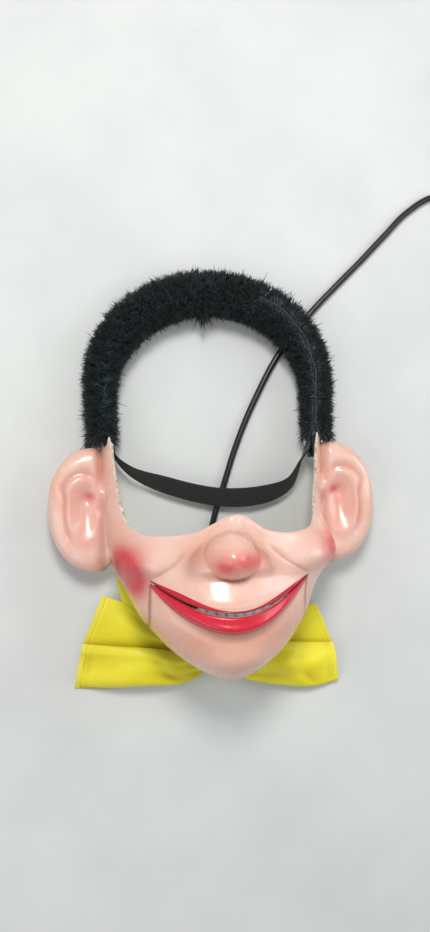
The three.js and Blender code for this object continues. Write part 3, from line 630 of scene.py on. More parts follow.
def relief(x, y):
    """Height of the features above the smooth oval."""
    mouth = lip_line(x)
    fold = smile_distance(x, y)
    smile = (-0.55 * hill(fold, 0.8) + 0.7 * ramp(fold, 0, 4) * hill(fold - 4, 6)) * smile_extent(y)
    upper_lip = 1.1 * hill(y - mouth - 2.5, 2.2) * in_mouth(x, 0.5)
    border = jaw_line(x) - lower_lip_width(x)
    lower_lip = 4.6 * ramp(y, border - 1.2, border + 3.6) * (1 - 0.35 * ramp(y, border + 6, border + 14))
    lower_lip = (lower_lip + 1.9 * hill(y - border - 4.4, 1.9)) * in_mouth(x, 0.8)
    lower_lip = lower_lip * ramp(mouth + 3 - y, 0, 3)
    chin = 6 * hill(x, 20) * hill(y + 281, 9)
    under_lip = -1.6 * hill(y - border + 3.5, 3.4) * in_mouth(x)
    over_screws = 1.6 * hill(x + 51, 6) * hill(y + 241, 9)
    return over_screws + nose(x, y) + muzzle(x, y) + smile + upper_lip + lower_lip + chin + under_lip


def apple(x, y):
    """Round cheeks; the one on the right is fuller."""
    tall = np.where(y > -207, 12, 8.5)
    left = 13.5 * hill(x + 68, 14) * hill((y + 207) / tall, 1)
    right = 15 * hill(x - 70, 14) * hill((y + 205) / tall, 1)
    return left + right


def lean(y):
    """The hand-made lower face sits a little to the right of the headband's middle."""
    return 2.0 * ramp(-y, 190, 215) + 1.8 * ramp(-y, 240, 288)


def face_point(turn, y, inset=0.0, lift=0.0):
    """Point of the face at angle turn from the centre line; inset moves it inwards."""
    half = np.maximum(section(y, 1) - inset, 0.5)
    rim = section(y, 2)
    rise = np.maximum(section(y, 3) - rim - inset, 0.5)
    flat = half * np.sin(turn)
    shrink = (CHEEK_Y - CHIN_Y - inset) / (CHEEK_Y - CHIN_Y)
    y_at = np.where(y < CHEEK_Y, CHEEK_Y + (y - CHEEK_Y) * shrink, y)
    away = ramp(np.cos(turn), 0, 0.4)
    z = rim + (rise + relief(flat, y) + lift) * np.cos(turn) + apple(flat, y) * away
    full = 9.5 * hill(turn - 1.2, 0.42) * hill(y + 202, 13)
    inner_share = np.where(np.asarray(inset) > 2, ramp(-y, 250, 262), 1.0)
    x = flat + lean(y) * inner_share + full
    return np.stack([x, y_at, z], -1)


def turn_of(x, y):
    return np.arcsin(np.clip(x / section(y, 1), -1, 1))


def rounding(distance, radius):
    """Drop of a rounded edge at a distance from it."""
    d = np.clip(distance, 0, radius)
    return radius - np.sqrt(np.maximum(radius**2 - (radius - d) ** 2, 0))


# Upper edge of the mask on one side: reach of the sine of the turn, and y.
TOP_EDGE = [
    [0, -172],
    [7, -173.5],
    [14, -178],
    [24, -184],
    [38, -187],
    [52, -187],
    [63, -184],
    [70, -175],
    [74, -159],
    [76.3, -140],
    [78, -125],
    [80, TEMPLE_Y],
]


def wander(count, scale, amount, draws):
    """Smooth seeded unevenness along an edge."""
    knots = draws.normal(0, amount, max(4, count // scale))
    return np.interp(np.linspace(0, 1, count), np.linspace(0, 1, len(knots)), knots)


def mirrored_ends(half):
    """Points from the left rim over the middle to the right rim, from the right half's."""
    left = half[::-1].copy()
    left[:, 0] *= -1
    return np.vstack([left, half[1:]])


def shell_top():
    """Turn and y along the upper edge, from the middle to the right rim."""
    edge = smooth_curve(TOP_EDGE, 400)
    across = np.array([[math.degrees(math.asin(x / ARCH_HALF)), y] for x, y in edge])
    run = np.interp(np.linspace(0, 1, 140) ** 0.92, np.linspace(0, 1, 400), np.arange(400))
    inner = np.stack([np.interp(run, np.arange(400), across[:, i]) for i in (0, 1)], 1)
    flat = np.stack([np.linspace(inner[-1, 0], 90, 21)[1:], np.full(20, TEMPLE_Y)], 1)
    half = np.vstack([inner, flat])
    half[:, 0] = np.radians(half[:, 0])
    return half


def slot_x(y):
    """Middle of the saw cut that runs down from a corner of the mouth."""
    return np.interp(-y, [-MOUTH_CORNER_Y, -SLOT_END_Y], [MOUTH_HALF, SLOT_HALF])


def slot_side(offset, y_from, y_to, count):
    """Turn and y down one side of the saw cut, at a distance from its middle."""
    y = np.linspace(y_from, y_to, count)
    return np.stack([turn_of(slot_x(y) + offset, y), y], 1)


def shell_bottom():
    x = np.linspace(0, MOUTH_HALF, 90)
    lip = np.stack([turn_of(x, lip_line(x)), lip_line(x)], 1)
    slot = slot_side(CUT / 2, MOUTH_CORNER_Y - 0.4, -255.2, 70)
    slot[-1, 0] = math.pi / 2
    return np.vstack([lip, slot])


def hollow(x, y):
    """How far the surface lies below its surroundings, 0 to 1."""
    around = sum(relief(x + a, y + b) for a, b in ((2, 0), (-2, 0), (0, 2), (0, -2))) / 4
    return np.clip((around - relief(x, y)) / 0.7, 0, 1)


LEFT_BLUSH = (-70, -215, 52)
RIGHT_BLUSH = (86, -206, 50)


def spread_from(points, centre):
    """Distance in space from the middle of an airbrushed patch."""
    dx, dy, dz = (points[..., i] - centre[i] for i in range(3))
    return np.sqrt(dx**2 + dy**2 + (0.7 * dz) ** 2)


def face_plate(name, top, bottom, shares, ragged, lip_roll, mouth_row):
    """Closed shell between two edges of turn and y; its wall is thin at the lips, on mouth_row."""
    grid = top[None] * (1 - shares)[:, None, None] + bottom[None] * shares[:, None, None]
    grid = grid + ragged[None] * (np.clip(1 - shares / 0.07, 0, 1) ** 1.5)[:, None, None]
    turn, y = grid[..., 0], grid[..., 1]
    rows, cols = turn.shape
    x = section(y, 1) * np.sin(turn)
    from_lip = np.abs(y - y[mouth_row][None])
    thin = hill(from_lip, 4) * in_mouth(x, 0.3)
    if mouth_row == -1:
        from_top = np.abs(y - y[0][None]) + 60 * np.abs(turn - turn[0][None])
        thin = np.maximum(thin, 1.05 * hill(from_top, 5))
    outer = face_point(turn, y, 0.0, lip_roll(x, y))
    inner = face_point(turn, y, WALL - 1.7 * thin)
    faces = plate_faces(rows, cols)
    points = np.vstack([outer.reshape(-1, 3), inner.reshape(-1, 3)])
    obj = mesh_piece(name, points, sum(faces, []), [SKIN, BARE])
    bare = np.ones(len(obj.data.polygons), np.int32)
    bare[: len(faces[0])] = 0
    back = np.ones((rows - 1, cols - 1), np.int32)
    edge_rows = slice(-3, None) if mouth_row == -1 else slice(0, 3)
    back[edge_rows] = 0
    bare[len(faces[0]) : 2 * len(faces[0])] = back.ravel()
    lip_border = 2 * len(faces[0]) + (0 if mouth_row == 0 else cols + rows - 2)
    bare[lip_border : lip_border + cols - 1] = 0
    obj.data.polygons.foreach_set("material_index", bare)
    return obj, x, y, outer


def blush_of(points, x, y):
    """Airbrushed red on both cheeks, joined by a faint band."""
    band = 0.22 * hill(y + 198, 9) * ramp(np.abs(x), 45, 72) * ramp(points[..., 2], 30, 46)
    left = ramp(-spread_from(points, LEFT_BLUSH), -28, -11)
    right = 0.95 * ramp(-spread_from(points, RIGHT_BLUSH), -25, -5)
    return left + right + band


def nose_red_of(x, y):
    left = 0.85 * hill(np.hypot((x + 7.5) / 1.2, y + 209), 3.4)
    right = 0.75 * hill(np.hypot((x - 13) / 1.9, y + 205.5), 4)
    tip = 0.6 * hill(np.hypot((x - 3) / 1.5, y + 205), 7.5)
    return left + right + tip + 0.04 * ramp(np.abs(x), 52, 74) * ramp(y, -186, -150)


def shade_of(x, y):
    """Painted shade in the hollows, along the smile fold, in the saw cut, along the sides of the nose and
    under the nose.
    """
    fold = hill(smile_distance(x, y), 0.9) * smile_extent(y)
    slot = hill(np.abs(x) - slot_x(y), 0.75) * ramp(-y, 220, 223) * ramp(y, -258, -254)
    flank = hill(wing_share(x, y) - 0.95, 0.14) * ramp(y, -221, -214) * ramp(-y, 190, 200)
    under_nose = hill(y + 219, 1.6) * ramp(-np.abs(x - 1), -13, -6)
    return 0.35 * hollow(x, y) + 0.12 * fold + 0.85 * slot + 0.42 * flank + 0.5 * under_nose


def tan_of(x, y):
    """Painted shade beside the nose, heavier on its left, under the lower lip and beside the saw cuts;
    deeper flesh towards the chin.
    """
    tan = 0.6 * hill(np.hypot((np.abs(x) - 24) / 1.2, y + 203), 9)
    tan = tan + 0.5 * hill(y + 262, 9) * in_mouth(x, 0.5)
    tan = tan + 0.55 * hill(np.hypot((x + 19) / 1.1, y + 197), 8)
    return tan + 0.45 * hill(np.abs(x) - 60, 6) * ramp(-y, 225, 235) + 0.45 * ramp(-y, 222, 262)


def coloured(obj, x, y, points, mouth_row, **edge_fields):
    """Paints the airbrushed fields of a shell piece. Inside, only the rows at the lips' edge get any: lip
    red in painted shade along the mouth, and painted shade on the cut beyond it.
    """
    painted = {
        "blush": blush_of(points, x, y),
        "nose_red": nose_red_of(x, y),
        "cavity": shade_of(x, y),
        "tan": tan_of(x, y),
        **edge_fields,
    }
    inner = {name: np.zeros_like(x) for name in painted}
    edge_rows = slice(-4, None) if mouth_row == -1 else slice(0, 4)
    at_mouth = np.abs(x[edge_rows]) < MOUTH_HALF
    inner["lip"][edge_rows] = at_mouth
    inner["lip_dark"][edge_rows] = 1.0
    inner["cavity"][edge_rows] = ~at_mouth
    fields = {k: np.r_[np.clip(v, 0, 1).ravel(), inner[k].ravel()] for k, v in painted.items()}
    paint_field(obj, **fields)


def make_shell():
    draws = np.random.default_rng(3)
    top = mirrored_ends(shell_top())
    top[:, 0] += math.radians(4.4) * hill(top[:, 0], 0.24)
    bottom = mirrored_ends(shell_bottom())
    cols = len(top)
    share = np.linspace(0, 1, 84)
    share = 1 - (1 - share) ** 1.55
    x_top = ARCH_HALF * np.sin(top[:, 0])
    strip = ramp(top[:, 1], -186, -170) * ramp(np.abs(x_top), 40, 66)
    tips = ramp(np.abs(top[:, 0]), math.radians(68.5), math.radians(70)) * (top[:, 1] > TEMPLE_Y - 2)
    ragged = np.zeros_like(top)
    ragged[:, 0] = strip * wander(cols, 3, 0.9, draws) * 0.014
    zigzag = np.minimum(np.abs(wander(cols, 4, 4.2, draws)), 7)
    ragged[:, 1] = -tips * zigzag - strip * (1 - tips) * wander(cols, 3, 0.8, draws)
    ragged[:, 1] -= 0.18 * (1 - strip) * wander(cols, 8, 1.0, draws)

    def lip_roll(x, y):
        d = y - lip_line(x)
        inside = (np.abs(x) < MOUTH_HALF) * in_mouth(x, 0.3)
        edge_row = np.zeros_like(x)
        edge_row[0] = -0.9
        edge_row[1] = -0.25
        return -0.9 * rounding(d, 1.8) * inside + edge_row

    obj, x, y, points = face_plate("painted_face_shell", top, bottom, share, ragged, lip_roll, -1)
    d = y - lip_line(x)
    width = (0.9 + 4.2 * hill(x + 38, 14) + 2.4 * hill(x - 40, 13)) * in_mouth(x, 0.25) + 0.3
    lip = ramp(width - d, -0.5, 0.5) * (np.abs(x) < MOUTH_HALF + 0.4)
    # Painted shade over the whole upper lip, deepest at its lower edge.
    lip_dark = 0.25 + 0.65 * ramp(-d, -2.2, 0)
    near = np.hypot((turn_of(x, y) - top[None, :, 0]) * 80, y - top[None, :, 1])
    wide = np.where(x < 0, 3.0, 1.6)
    raw = ramp(wide - near, -wide, wide) * np.clip(strip + 0.6 * tips, 0.12, 1)[None]
    coloured(obj, x, y, points, -1, lip=lip, lip_dark=lip_dark, raw=raw)
    place(obj, "mask", "painted_skin", "face_shell")


def jaw_top():
    x = np.linspace(0, MOUTH_HALF - CUT / 2, 90)
    lip = np.stack([turn_of(x, jaw_line(x)), jaw_line(x)], 1)
    return np.vstack([lip, slot_side(-CUT / 2, MOUTH_CORNER_Y - 1.2, SLOT_END_Y - 0.4, 60)])


def jaw_bottom():
    """From the middle of the chin out to the rim and up it."""
    middle = np.stack([np.linspace(0, math.pi / 2, 40), np.full(40, CHIN_Y)], 1)
    count = len(jaw_top()) - 40
    rim_y = CHIN_Y + (SLOT_END_Y - 1 - CHIN_Y) * np.linspace(0, 1, count + 1)[1:] ** 1.15
    return np.vstack([middle, np.stack([np.full(count, math.pi / 2), rim_y], 1)])


def make_jaw():
    top = mirrored_ends(jaw_top())
    bottom = mirrored_ends(jaw_bottom())
    share = np.linspace(0, 1, 90) ** 1.5

    def lip_roll(x, y):
        d = jaw_line(x) - y
        inside = (np.abs(x) < MOUTH_HALF) * in_mouth(x, 0.3)
        return -0.9 * rounding(d, 2.0) * inside

    obj, x, y, points = face_plate("painted_jaw", top, bottom, share, np.zeros_like(top), lip_roll, 0)
    d = jaw_line(x) - y
    lip = ramp(lower_lip_width(x) - d, -0.5, 0.5) * (np.abs(x) < MOUTH_HALF)
    # Painted shade at the top of the lower lip, under the parting, and slightly darker along its lower
    # border.
    lip_dark = 0.25 * ramp(-d, -3, 0) + 0.12 * hill(d - lower_lip_width(x), 1.2)
    coloured(obj, x, y, points, 0, lip=lip, lip_dark=lip_dark)
    place(obj, "jaw", "painted_skin", "jaw_shell")


def make_teeth():
    """Upper teeth along the lip line, on a dark red strip of gums that runs on past the teeth as a dark
    sheet of painted shade inside the mouth.
    """
    count, pitch, fine = 8, 6.6, 9
    points, faces, gum = [], [], []

    def on_arc(x, down, deep):
        y = lip_line(x)
        half = section(y, 1)
        smooth = section(y, 2) + (section(y, 3) - section(y, 2)) * np.sqrt(1 - (x / half) ** 2)
        return np.stack([x + lean(y), y + down, smooth + muzzle(x, y) - 1.2 - deep], -1)

    def add_block(x, down, front, back, is_gum):
        rows, cols = x.shape
        start = len(points)
        grid = np.vstack([on_arc(x, down, front).reshape(-1, 3), on_arc(x, down, back).reshape(-1, 3)])
        points.extend(grid.tolist())
        for q in sum(plate_faces(rows, cols), []):
            faces.append([start + v for v in q])
        gum.extend([is_gum] * len(grid))

    u, v = np.meshgrid(np.linspace(-1, 1, fine), np.linspace(-1, 1, fine))
    bulge = (1 - np.abs(u) ** 3.2) ** 0.6 * (1 - np.abs(v) ** 4) ** 0.5
    for i in range(count):
        middle = (i - (count - 1) / 2) * pitch
        size = 0.975 * pitch / 2 * (1 + 0.06 * rng.normal())
        x = middle + u * size * (1 - 0.06 * v**2)
        down = -0.3 + v * (3.9 + 0.15 * rng.normal())
        add_block(x, down, 1.5 - 1.5 * bulge, np.full_like(u, 2.2), 0.0)
    # Past the teeth the dark strip stands in for the shade inside the mouth, out to the corners.
    x, share = np.meshgrid(np.linspace(-54, 54, 67), np.linspace(0, 1, 5))
    out = (x / 54) ** 2
    down = (-2.2 + 0.9 * out) * (1 - share) + 5 * share
    add_block(x, down, 2.3 + 1.8 * out, 3.9 + 1.8 * out, 1.0)
    obj = mesh_piece("upper_teeth_row", points, faces, [TOOTH])
    paint_field(obj, gum=gum)
    place(obj, "mask", "teeth", "upper_teeth")


# ---------- ears ----------
EAR_AT = (91.0, -167.0)


def make_ear(name, side, node):
    """Ear with helix, groove, bowl, tragus and lobe; side is 1 on the right and -1 on the left."""
    around, front, behind = 160, 56, 16
    angle = np.linspace(0, 2 * np.pi, around, endpoint=False)
    reach = 1 - (1 - np.linspace(0.02, 1, front)) ** 1.25
    reach = np.r_[reach, np.linspace(1, 0.02, behind + 1)[1:]]
    is_front = np.arange(len(reach)) < front
    cos, sin = np.cos(angle)[None], np.sin(angle)[None]
    square = (np.abs(cos) ** 2.2 + np.abs(sin) ** 2.2) ** (-1 / 2.2)
    p = reach[:, None] * np.ones_like(cos)
    dx = np.where(cos > 0, 38.5, 16) * cos * square * p
    dy = np.where(sin > 0, 47.5, 50) * sin * square * p
    q = np.hypot((dx - 11) / (14 + 6 * ramp(dy, 4, 20)), (dy + 3) / 29)
    upper = ramp(dy, -34, -16)
    bowl_q = np.hypot((dx - 9) / 15, (dy - 2) / np.where(dy > 2, 24, 27))
    z = 27.5 + 2.6 * dx / 38
    z = z - rounding((1 - p) * 34, 9.0)
    z = z - 2.3 * hill(q - 1.06, 0.1) * (0.15 + 0.85 * upper) * ramp(dx, -2, 8)
    z = z - 6.3 * (1 - ramp(bowl_q, 0.1, 1.1))
    z = z + 0.9 * hill(q - 0.86, 0.1) * upper * ramp(dx, 4, 14)
    z = z - 1.6 * hill(np.hypot(dx - 9, dy - 8), 3.5)
    z = z + 1.2 * hill(dx + 1, 4) * hill(dy + 8, 8)
    z = z + 1.4 * hill(np.hypot((dx - 7) / 1.1, dy + 39), 7)
    z = z - 3.0 * hill(dx + 3, 3.0) * ramp(-dy, -14, 2)
    z = z - 9.0 * ramp(-dx, -3, 5) * ramp(dy, 8, 26)
    back = 7.5 + 12.5 * p**2.2 + 2.6 * dx / 38
    z = np.where(is_front[:, None], z, np.minimum(back, z[front - 1][None] - 0.2))
    x, y = EAR_AT[0] + dx, EAR_AT[1] + dy
    wall_y = np.clip(y, CHIN_Y, -104)
    rim, half = section(wall_y, 2), section(wall_y, 1)
    rise = section(wall_y, 3) - rim
    wall_x = half * np.sqrt(np.clip(1 - ((np.maximum(z, rim) - rim) / rise) ** 2, 0, 1))
    x = np.maximum(x, wall_x - 1.2)
    rings = np.stack([side * x, y, z], -1)
    obj = stack(name, rings, [SKIN], 60)
    front_only = is_front[:, None].astype(float)
    upper_groove = upper * ramp(dx, -2, 8)
    # Painted shade along the join of the ear to the face and in the upper groove.
    crease = 0.5 * hill(dx + 3.5, 2.6) * ramp(-dy, -20, 0)
    pink = 0.22 * (1 - ramp(bowl_q, 0.6, 1.5)) + 0.2 * hill(q - 1.06, 0.09) * upper_groove
    painted = {
        "blush": 0.75 * hill(np.hypot(dx - 6, dy - 9), 2.8) * front_only,
        "nose_red": pink * front_only,
        "cavity": (crease + 0.3 * hill(q - 1.06, 0.05) * upper_groove) * front_only,
        # Painted shade on the back of the ear and in a thin line along its rim.
        "tan": 0.5 * (1 - front_only) + 0.25 * hill(p - 0.97, 0.05),
    }
    paint_field(obj, **{k: np.clip(np.broadcast_to(v, p.shape), 0, 1) for k, v in painted.items()})
    place(obj, "mask", "painted_skin", node)


# ---------- fur, its backing and its seam ----------
ARCH_TOP = 75.0
FUR_LOW_Y = -112.0
FUR_CROWN, FUR_LEG = 17.5, 11.5  # half thickness at the crown and at the temples
FUR_MIDDLE_Z, FUR_LIFT = 13.4, 11.0
LAST = 239  # the band's points are counted from 0 to this


def arch_line(samples):
    """Centre line of the band, from the left temple over the crown to the right one."""
    angle = np.linspace(np.pi, 0, 120)
    arc = np.stack([ARCH_HALF * np.cos(angle), -ARCH_TOP + ARCH_TOP * np.sin(angle)], 1)
    legs = np.array([[-ARCH_HALF, FUR_LOW_Y]]), np.array([[ARCH_HALF, FUR_LOW_Y]])
    return evenly(np.vstack([legs[0], arc, legs[1]]), samples)


def fur_half(y):
    return FUR_CROWN + (FUR_LEG - FUR_CROWN) * ramp(-y, 5, 100)


def band_point(line, index, phi, swell):
    """Point and outward normal on the padded band, at angle phi round it (0 is the outer side)."""
    k = np.clip(index, 0, len(line) - 1.001)
    low = k.astype(int)
    part = (k - low)[:, None]
    at = line[low] * (1 - part) + line[low + 1] * part
    along = unit(line[low + 1] - line[low])
    out = np.stack([-along[:, 1], along[:, 0]], 1)
    reach = fur_half(at[:, 1]) - 4.6 + swell
    lift = FUR_LIFT + swell
    cos, sin = np.cos(phi), np.sin(phi)
    flat = at + out * (reach * np.sign(cos) * np.abs(cos) ** 0.85)[:, None]
    z = FUR_MIDDLE_Z + lift * np.sign(sin) * np.abs(sin) ** 0.85
    normal = np.concatenate([out * (cos / reach)[:, None], (sin / lift)[:, None]], 1)
    tangent = np.concatenate([along, np.zeros((len(along), 1))], 1)
    return np.concatenate([flat, z[:, None]], 1), unit(normal), tangent


SEAM_FROM, SEAM_TO = 0.62, 0.985  # share of the band's length, on the right limb


def share_of(index):
    return index / LAST


def seam_angle(index):
    """The seam drifts from the outer side at the crown to the top at the temple."""
    return 1.2 + 0.62 * ramp(share_of(index), SEAM_FROM, SEAM_TO)


def make_fur():
    line = arch_line(LAST + 1)
    rows, around = 200, 40
    angle = np.linspace(0, 2 * np.pi, around, endpoint=False)
    s, phi = np.meshgrid(np.linspace(0, LAST, rows), angle, indexing="ij")
    lumps = 0.6 * np.sin(s * 0.31 + 2 * np.sin(phi)) * np.cos(phi * 2 + s * 0.07)
    points, _, _ = band_point(line, s.ravel(), phi.ravel(), lumps.ravel())
    sleeve = stack("fur_band_backing", points.reshape(rows, around, 3), [BACKING])
    place(sleeve, "mask", "black_fur", "fur_cover")
    for i, (letter, count, size) in enumerate((("a", 15000, 1.0), ("b", 15000, 1.0), ("c", 12000, 1.3))):
        make_pile("fur_pile_" + letter, line, count, size, np.random.default_rng(100 + i))
    make_seam(line)


TUFT_POINTS = 10  # three rings of three and a tip


def tuft_points(root, lean, curl, length, radius, draws):
    """Three-sided tapering tufts with a curl: three rings and a tip each."""
    count = len(root)
    across = unit(np.cross(lean, unit(draws.normal(0, 1, (count, 3)))))
    other = np.cross(lean, across)
    radius = radius * draws.uniform(0.75, 1.25, count)
    corners = np.array([0.0, 2.1, 4.2])[None, :, None]
    ring = across[:, None] * np.cos(corners) + other[:, None] * np.sin(corners)
    levels = []
    for step, width in ((0.0, 1.0), (0.5, 0.8), (0.82, 0.42)):
        core = root + lean * (length * step)[:, None] + curl * (length * step**2 * 0.5)[:, None]
        levels.append(core[:, None] + ring * (radius * width)[:, None, None])
    tip = root + lean * length[:, None] + curl * (length * 0.5)[:, None]
    levels.append(tip[:, None])
    points = np.concatenate(levels, 1)
    points[..., 2] = np.maximum(points[..., 2], 0.3)
    return points


def tuft_faces(count):
    start = (np.arange(count) * TUFT_POINTS)[:, None]
    sides = ((0, 1), (1, 2), (2, 0))
    faces = []
    for level in (0, 3):
        for a, b in sides:
            faces += (start + np.array([[level + a, level + b, level + 3 + b, level + 3 + a]])).tolist()
    for a, b in sides:
        faces += (start + np.array([[6 + a, 6 + b, 9]])).tolist()
    return faces + (start + np.array([[2, 1, 0]])).tolist()


def make_pile(name, line, count, size, draws):
    """Tapered tufts of pile, combed in loose clumps and parted along the seam."""
    index = draws.uniform(0, LAST, count)
    phi = draws.uniform(0, 2 * np.pi, count)
    share = share_of(index)
    on_seam = (share > SEAM_FROM) & (share < SEAM_TO) & (np.abs(phi - seam_angle(index)) < 0.07)
    index, phi, share = index[~on_seam], phi[~on_seam], share[~on_seam]
    count = len(index)
    root, normal, along = band_point(line, index, phi, np.full(count, -0.3))
    around = np.cross(normal, along)
    clump = np.sin(index * 0.9 + 3 * np.sin(phi * 2.0)) + 0.6 * np.sin(index * 2.3 + phi * 5)
    comb = 0.42 * clump + draws.normal(0, 0.28, count)
    sway = 0.4 * np.sin(index * 0.55 + phi * 3) + draws.normal(0, 0.26, count)
    beside = phi - seam_angle(index)
    parted = hill(beside, 0.3) * np.sign(beside) * (share > SEAM_FROM)
    sway = sway - 1.1 * parted
    hanging = ramp(np.abs(share - 0.5), 0.475, 0.5)
    tuft = hill(share - 0.49, 0.009) * hill(phi - np.pi, 0.5) * (draws.uniform(0, 1, count) < 0.6)
    down = np.array([0.0, -1.0, 0.1])
    lean = unit(normal + along * comb[:, None] + around * sway[:, None])
    lean = unit(lean + down * (1.3 * hanging + 2.0 * tuft)[:, None])
    outer = 0.5 + 0.5 * np.cos(phi)
    length = size * (4.4 + 1.5 * outer + draws.gamma(1.4, 0.75, count)) * (1 - 0.35 * np.abs(parted))
    length = length * (1 + 0.55 * hanging + 1.3 * tuft)
    curl = along * draws.normal(0, 0.35, count)[:, None]
    curl = curl + around * draws.normal(0, 0.35, count)[:, None]
    points = tuft_points(root, lean, curl, length, 0.34 * size, draws)
    mesh = bpy.data.meshes.new(name)
    mesh.from_pydata((points.reshape(-1, 3) * MM).tolist(), [], tuft_faces(count))
    mesh.materials.append(FUR)
    mesh.shade_smooth()
    obj = new_object(name, mesh)
    tone = np.clip(draws.beta(1.3, 3.2, count), 0, 1)
    tone = np.where(draws.uniform(0, 1, count) > 0.93, 1.0, tone)
    # Painted sheen: lighter strands in a streak on the left limb, near the crown and on both sides of the
    # seam's parting.
    shine = hill(phi - 1.75, 0.16) * hill(share - 0.1, 0.05)
    shine = shine + 0.7 * hill(phi - 1.2, 0.2) * hill(share - 0.49, 0.02)
    shine = shine + 0.8 * hill(beside, 0.14) * (share > SEAM_FROM)
    paint_field(obj, strand=np.repeat(np.clip(tone + shine, 0, 1.6), TUFT_POINTS))
    place(obj, "mask", "black_fur")


def make_seam(line):
    """Piping where the two edges of the fur cloth meet, on the right limb."""
    s = np.linspace(SEAM_FROM * LAST, SEAM_TO * LAST, 220)
    wave = seam_angle(s) + 0.05 * np.sin(s * 0.3)
    path, _, _ = band_point(line, s, wave, np.full(len(s), 0.2))
    stitches = 0.55 + 0.2 * np.sin(np.arange(len(s)) * 1.9)
    obj = stack("fur_seam_piping", tube_rings(path, stitches, 8), [PIPING])
    place(obj, "mask", "black_fur")


# ---------- strap, bow and ribbons ----------
def band_frames(points, widths, samples):
    path = spline(points, samples)
    along = unit(np.gradient(path, axis=0))
    side = spline(widths, samples)
    side = unit(side - (side * along).sum(1, keepdims=True) * along)
    return path, side, np.cross(along, side)


STRAP_ROUTE = [
    (-78.4, -113, 15), (-78.1, -124, 15), (-66, -138, 15), (-37, -151, 13), (6, -162, 13),
    (42, -161, 13), (62, -153, 14), (72, -136, 15), (78.1, -124, 15), (78.4, -113, 15),
]
STRAP_WIDTHS = [
    (0, 0, 1), (0, 0, 1), (0.15, 0.3, 1), (0.15, 0.8, 0.75), (0, 0.9, 0.6),
    (0, 0.9, 0.6), (-0.3, 0.6, 0.9), (-0.2, 0.2, 1), (0, 0, 1), (0, 0, 1),
]
STRAP_WIDTH = 18.0


def woven_band(name, path, side, up, width, thick, ribs):
    """Flat woven band: ribs run along it, on both faces, between rounded edges."""
    across = np.linspace(-1, 1, 6 * ribs + 1)
    rib = 0.5 + 0.5 * np.cos(across * ribs * np.pi)
    edge = np.sqrt(np.maximum(1 - np.abs(across) ** 24, 0))
    height = thick / 2 * edge * (0.82 + 0.18 * rib)
    middle = path[:, None] + side[:, None] * (across * width / 2)[None, :, None]
    rise = up[:, None] * height[None, :, None]
    rings = np.concatenate([middle + rise, (middle - rise)[:, -2:0:-1]], 1)
    obj = stack(name, rings, [WEBBING], 80)
    run = np.r_[0, np.cumsum(np.linalg.norm(np.diff(path, axis=0), axis=1))]
    around = rings.shape[1]
    paint_field(obj, rib=np.tile(np.r_[rib, rib[-2:0:-1]], len(path)), along=np.repeat(run, around))
    return obj, run[-1]


def make_strap():
    thick, samples, ribs = 1.6, 220, 9
    path, side, up = band_frames(STRAP_ROUTE, STRAP_WIDTHS, samples)
    obj, length = woven_band("woven_strap", path, side, up, STRAP_WIDTH, thick, ribs)
    place(obj, "mask", "black_webbing", "elastic_strap")


def cloth_solid(name, grid, thick, fields):
    """Cloth of even thickness from a grid of points in mm, closed round its edges."""
    grid = np.asarray(grid, float)
    rows, cols = grid.shape[:2]
    du, dv = np.gradient(grid, axis=0), np.gradient(grid, axis=1)
    normal = unit(np.cross(du, dv))
    layers = [(grid + normal * offset).reshape(-1, 3) for offset in (thick / 2, -thick / 2)]
    points = np.vstack(layers)
    points[:, 2] = np.maximum(points[:, 2], 0.2)
    obj = mesh_piece(name, points, sum(plate_faces(rows, cols), []), [SATIN], 70)
    paint_field(obj, **{k: np.tile(np.clip(v, 0, 1).ravel(), 2) for k, v in fields.items()})
    return obj


def soft_noise(u, v, draws, waves, low, high):
    """Sum of a few seeded waves over a grid, about -1 to 1."""
    total = np.zeros_like(u)
    for _ in range(waves):
        a, b = draws.uniform(low, high, 2) * draws.choice([-1, 1], 2)
        total += np.sin(a * u + b * v + draws.uniform(0, 2 * np.pi))
    return total / waves**0.5


LEFT_WING = {
    "top": [(-12, -284), (-42, -269), (-60, -253), (-73, -244), (-90, -237.5)],
    "fold": [(-12, -291), (-30, -286), (-50, -281), (-76, -278), (-106.5, -275)],
    "bottom": [(-12, -304), (-27, -310.5), (-58, -311.5), (-88, -312), (-114, -309.5)],
    "height": 14.0,
    "folds": 3.1,
    "curl": 0.37,
    "bend": 2.0,
    "seed": 21,
}
RIGHT_WING = {
    "top": [(12, -285), (40, -277), (58, -266), (71, -256), (84, -251.8)],
    "fold": [(12, -291), (34, -285), (54, -282), (76, -283.5), (97, -285)],
    "bottom": [(12, -305), (27, -312), (52, -317.5), (78, -320.5), (101, -317)],
    "height": 14.0,
    "folds": 2.4,
    "curl": 0.64,
    "bend": -1.4,
    "seed": 34,
}


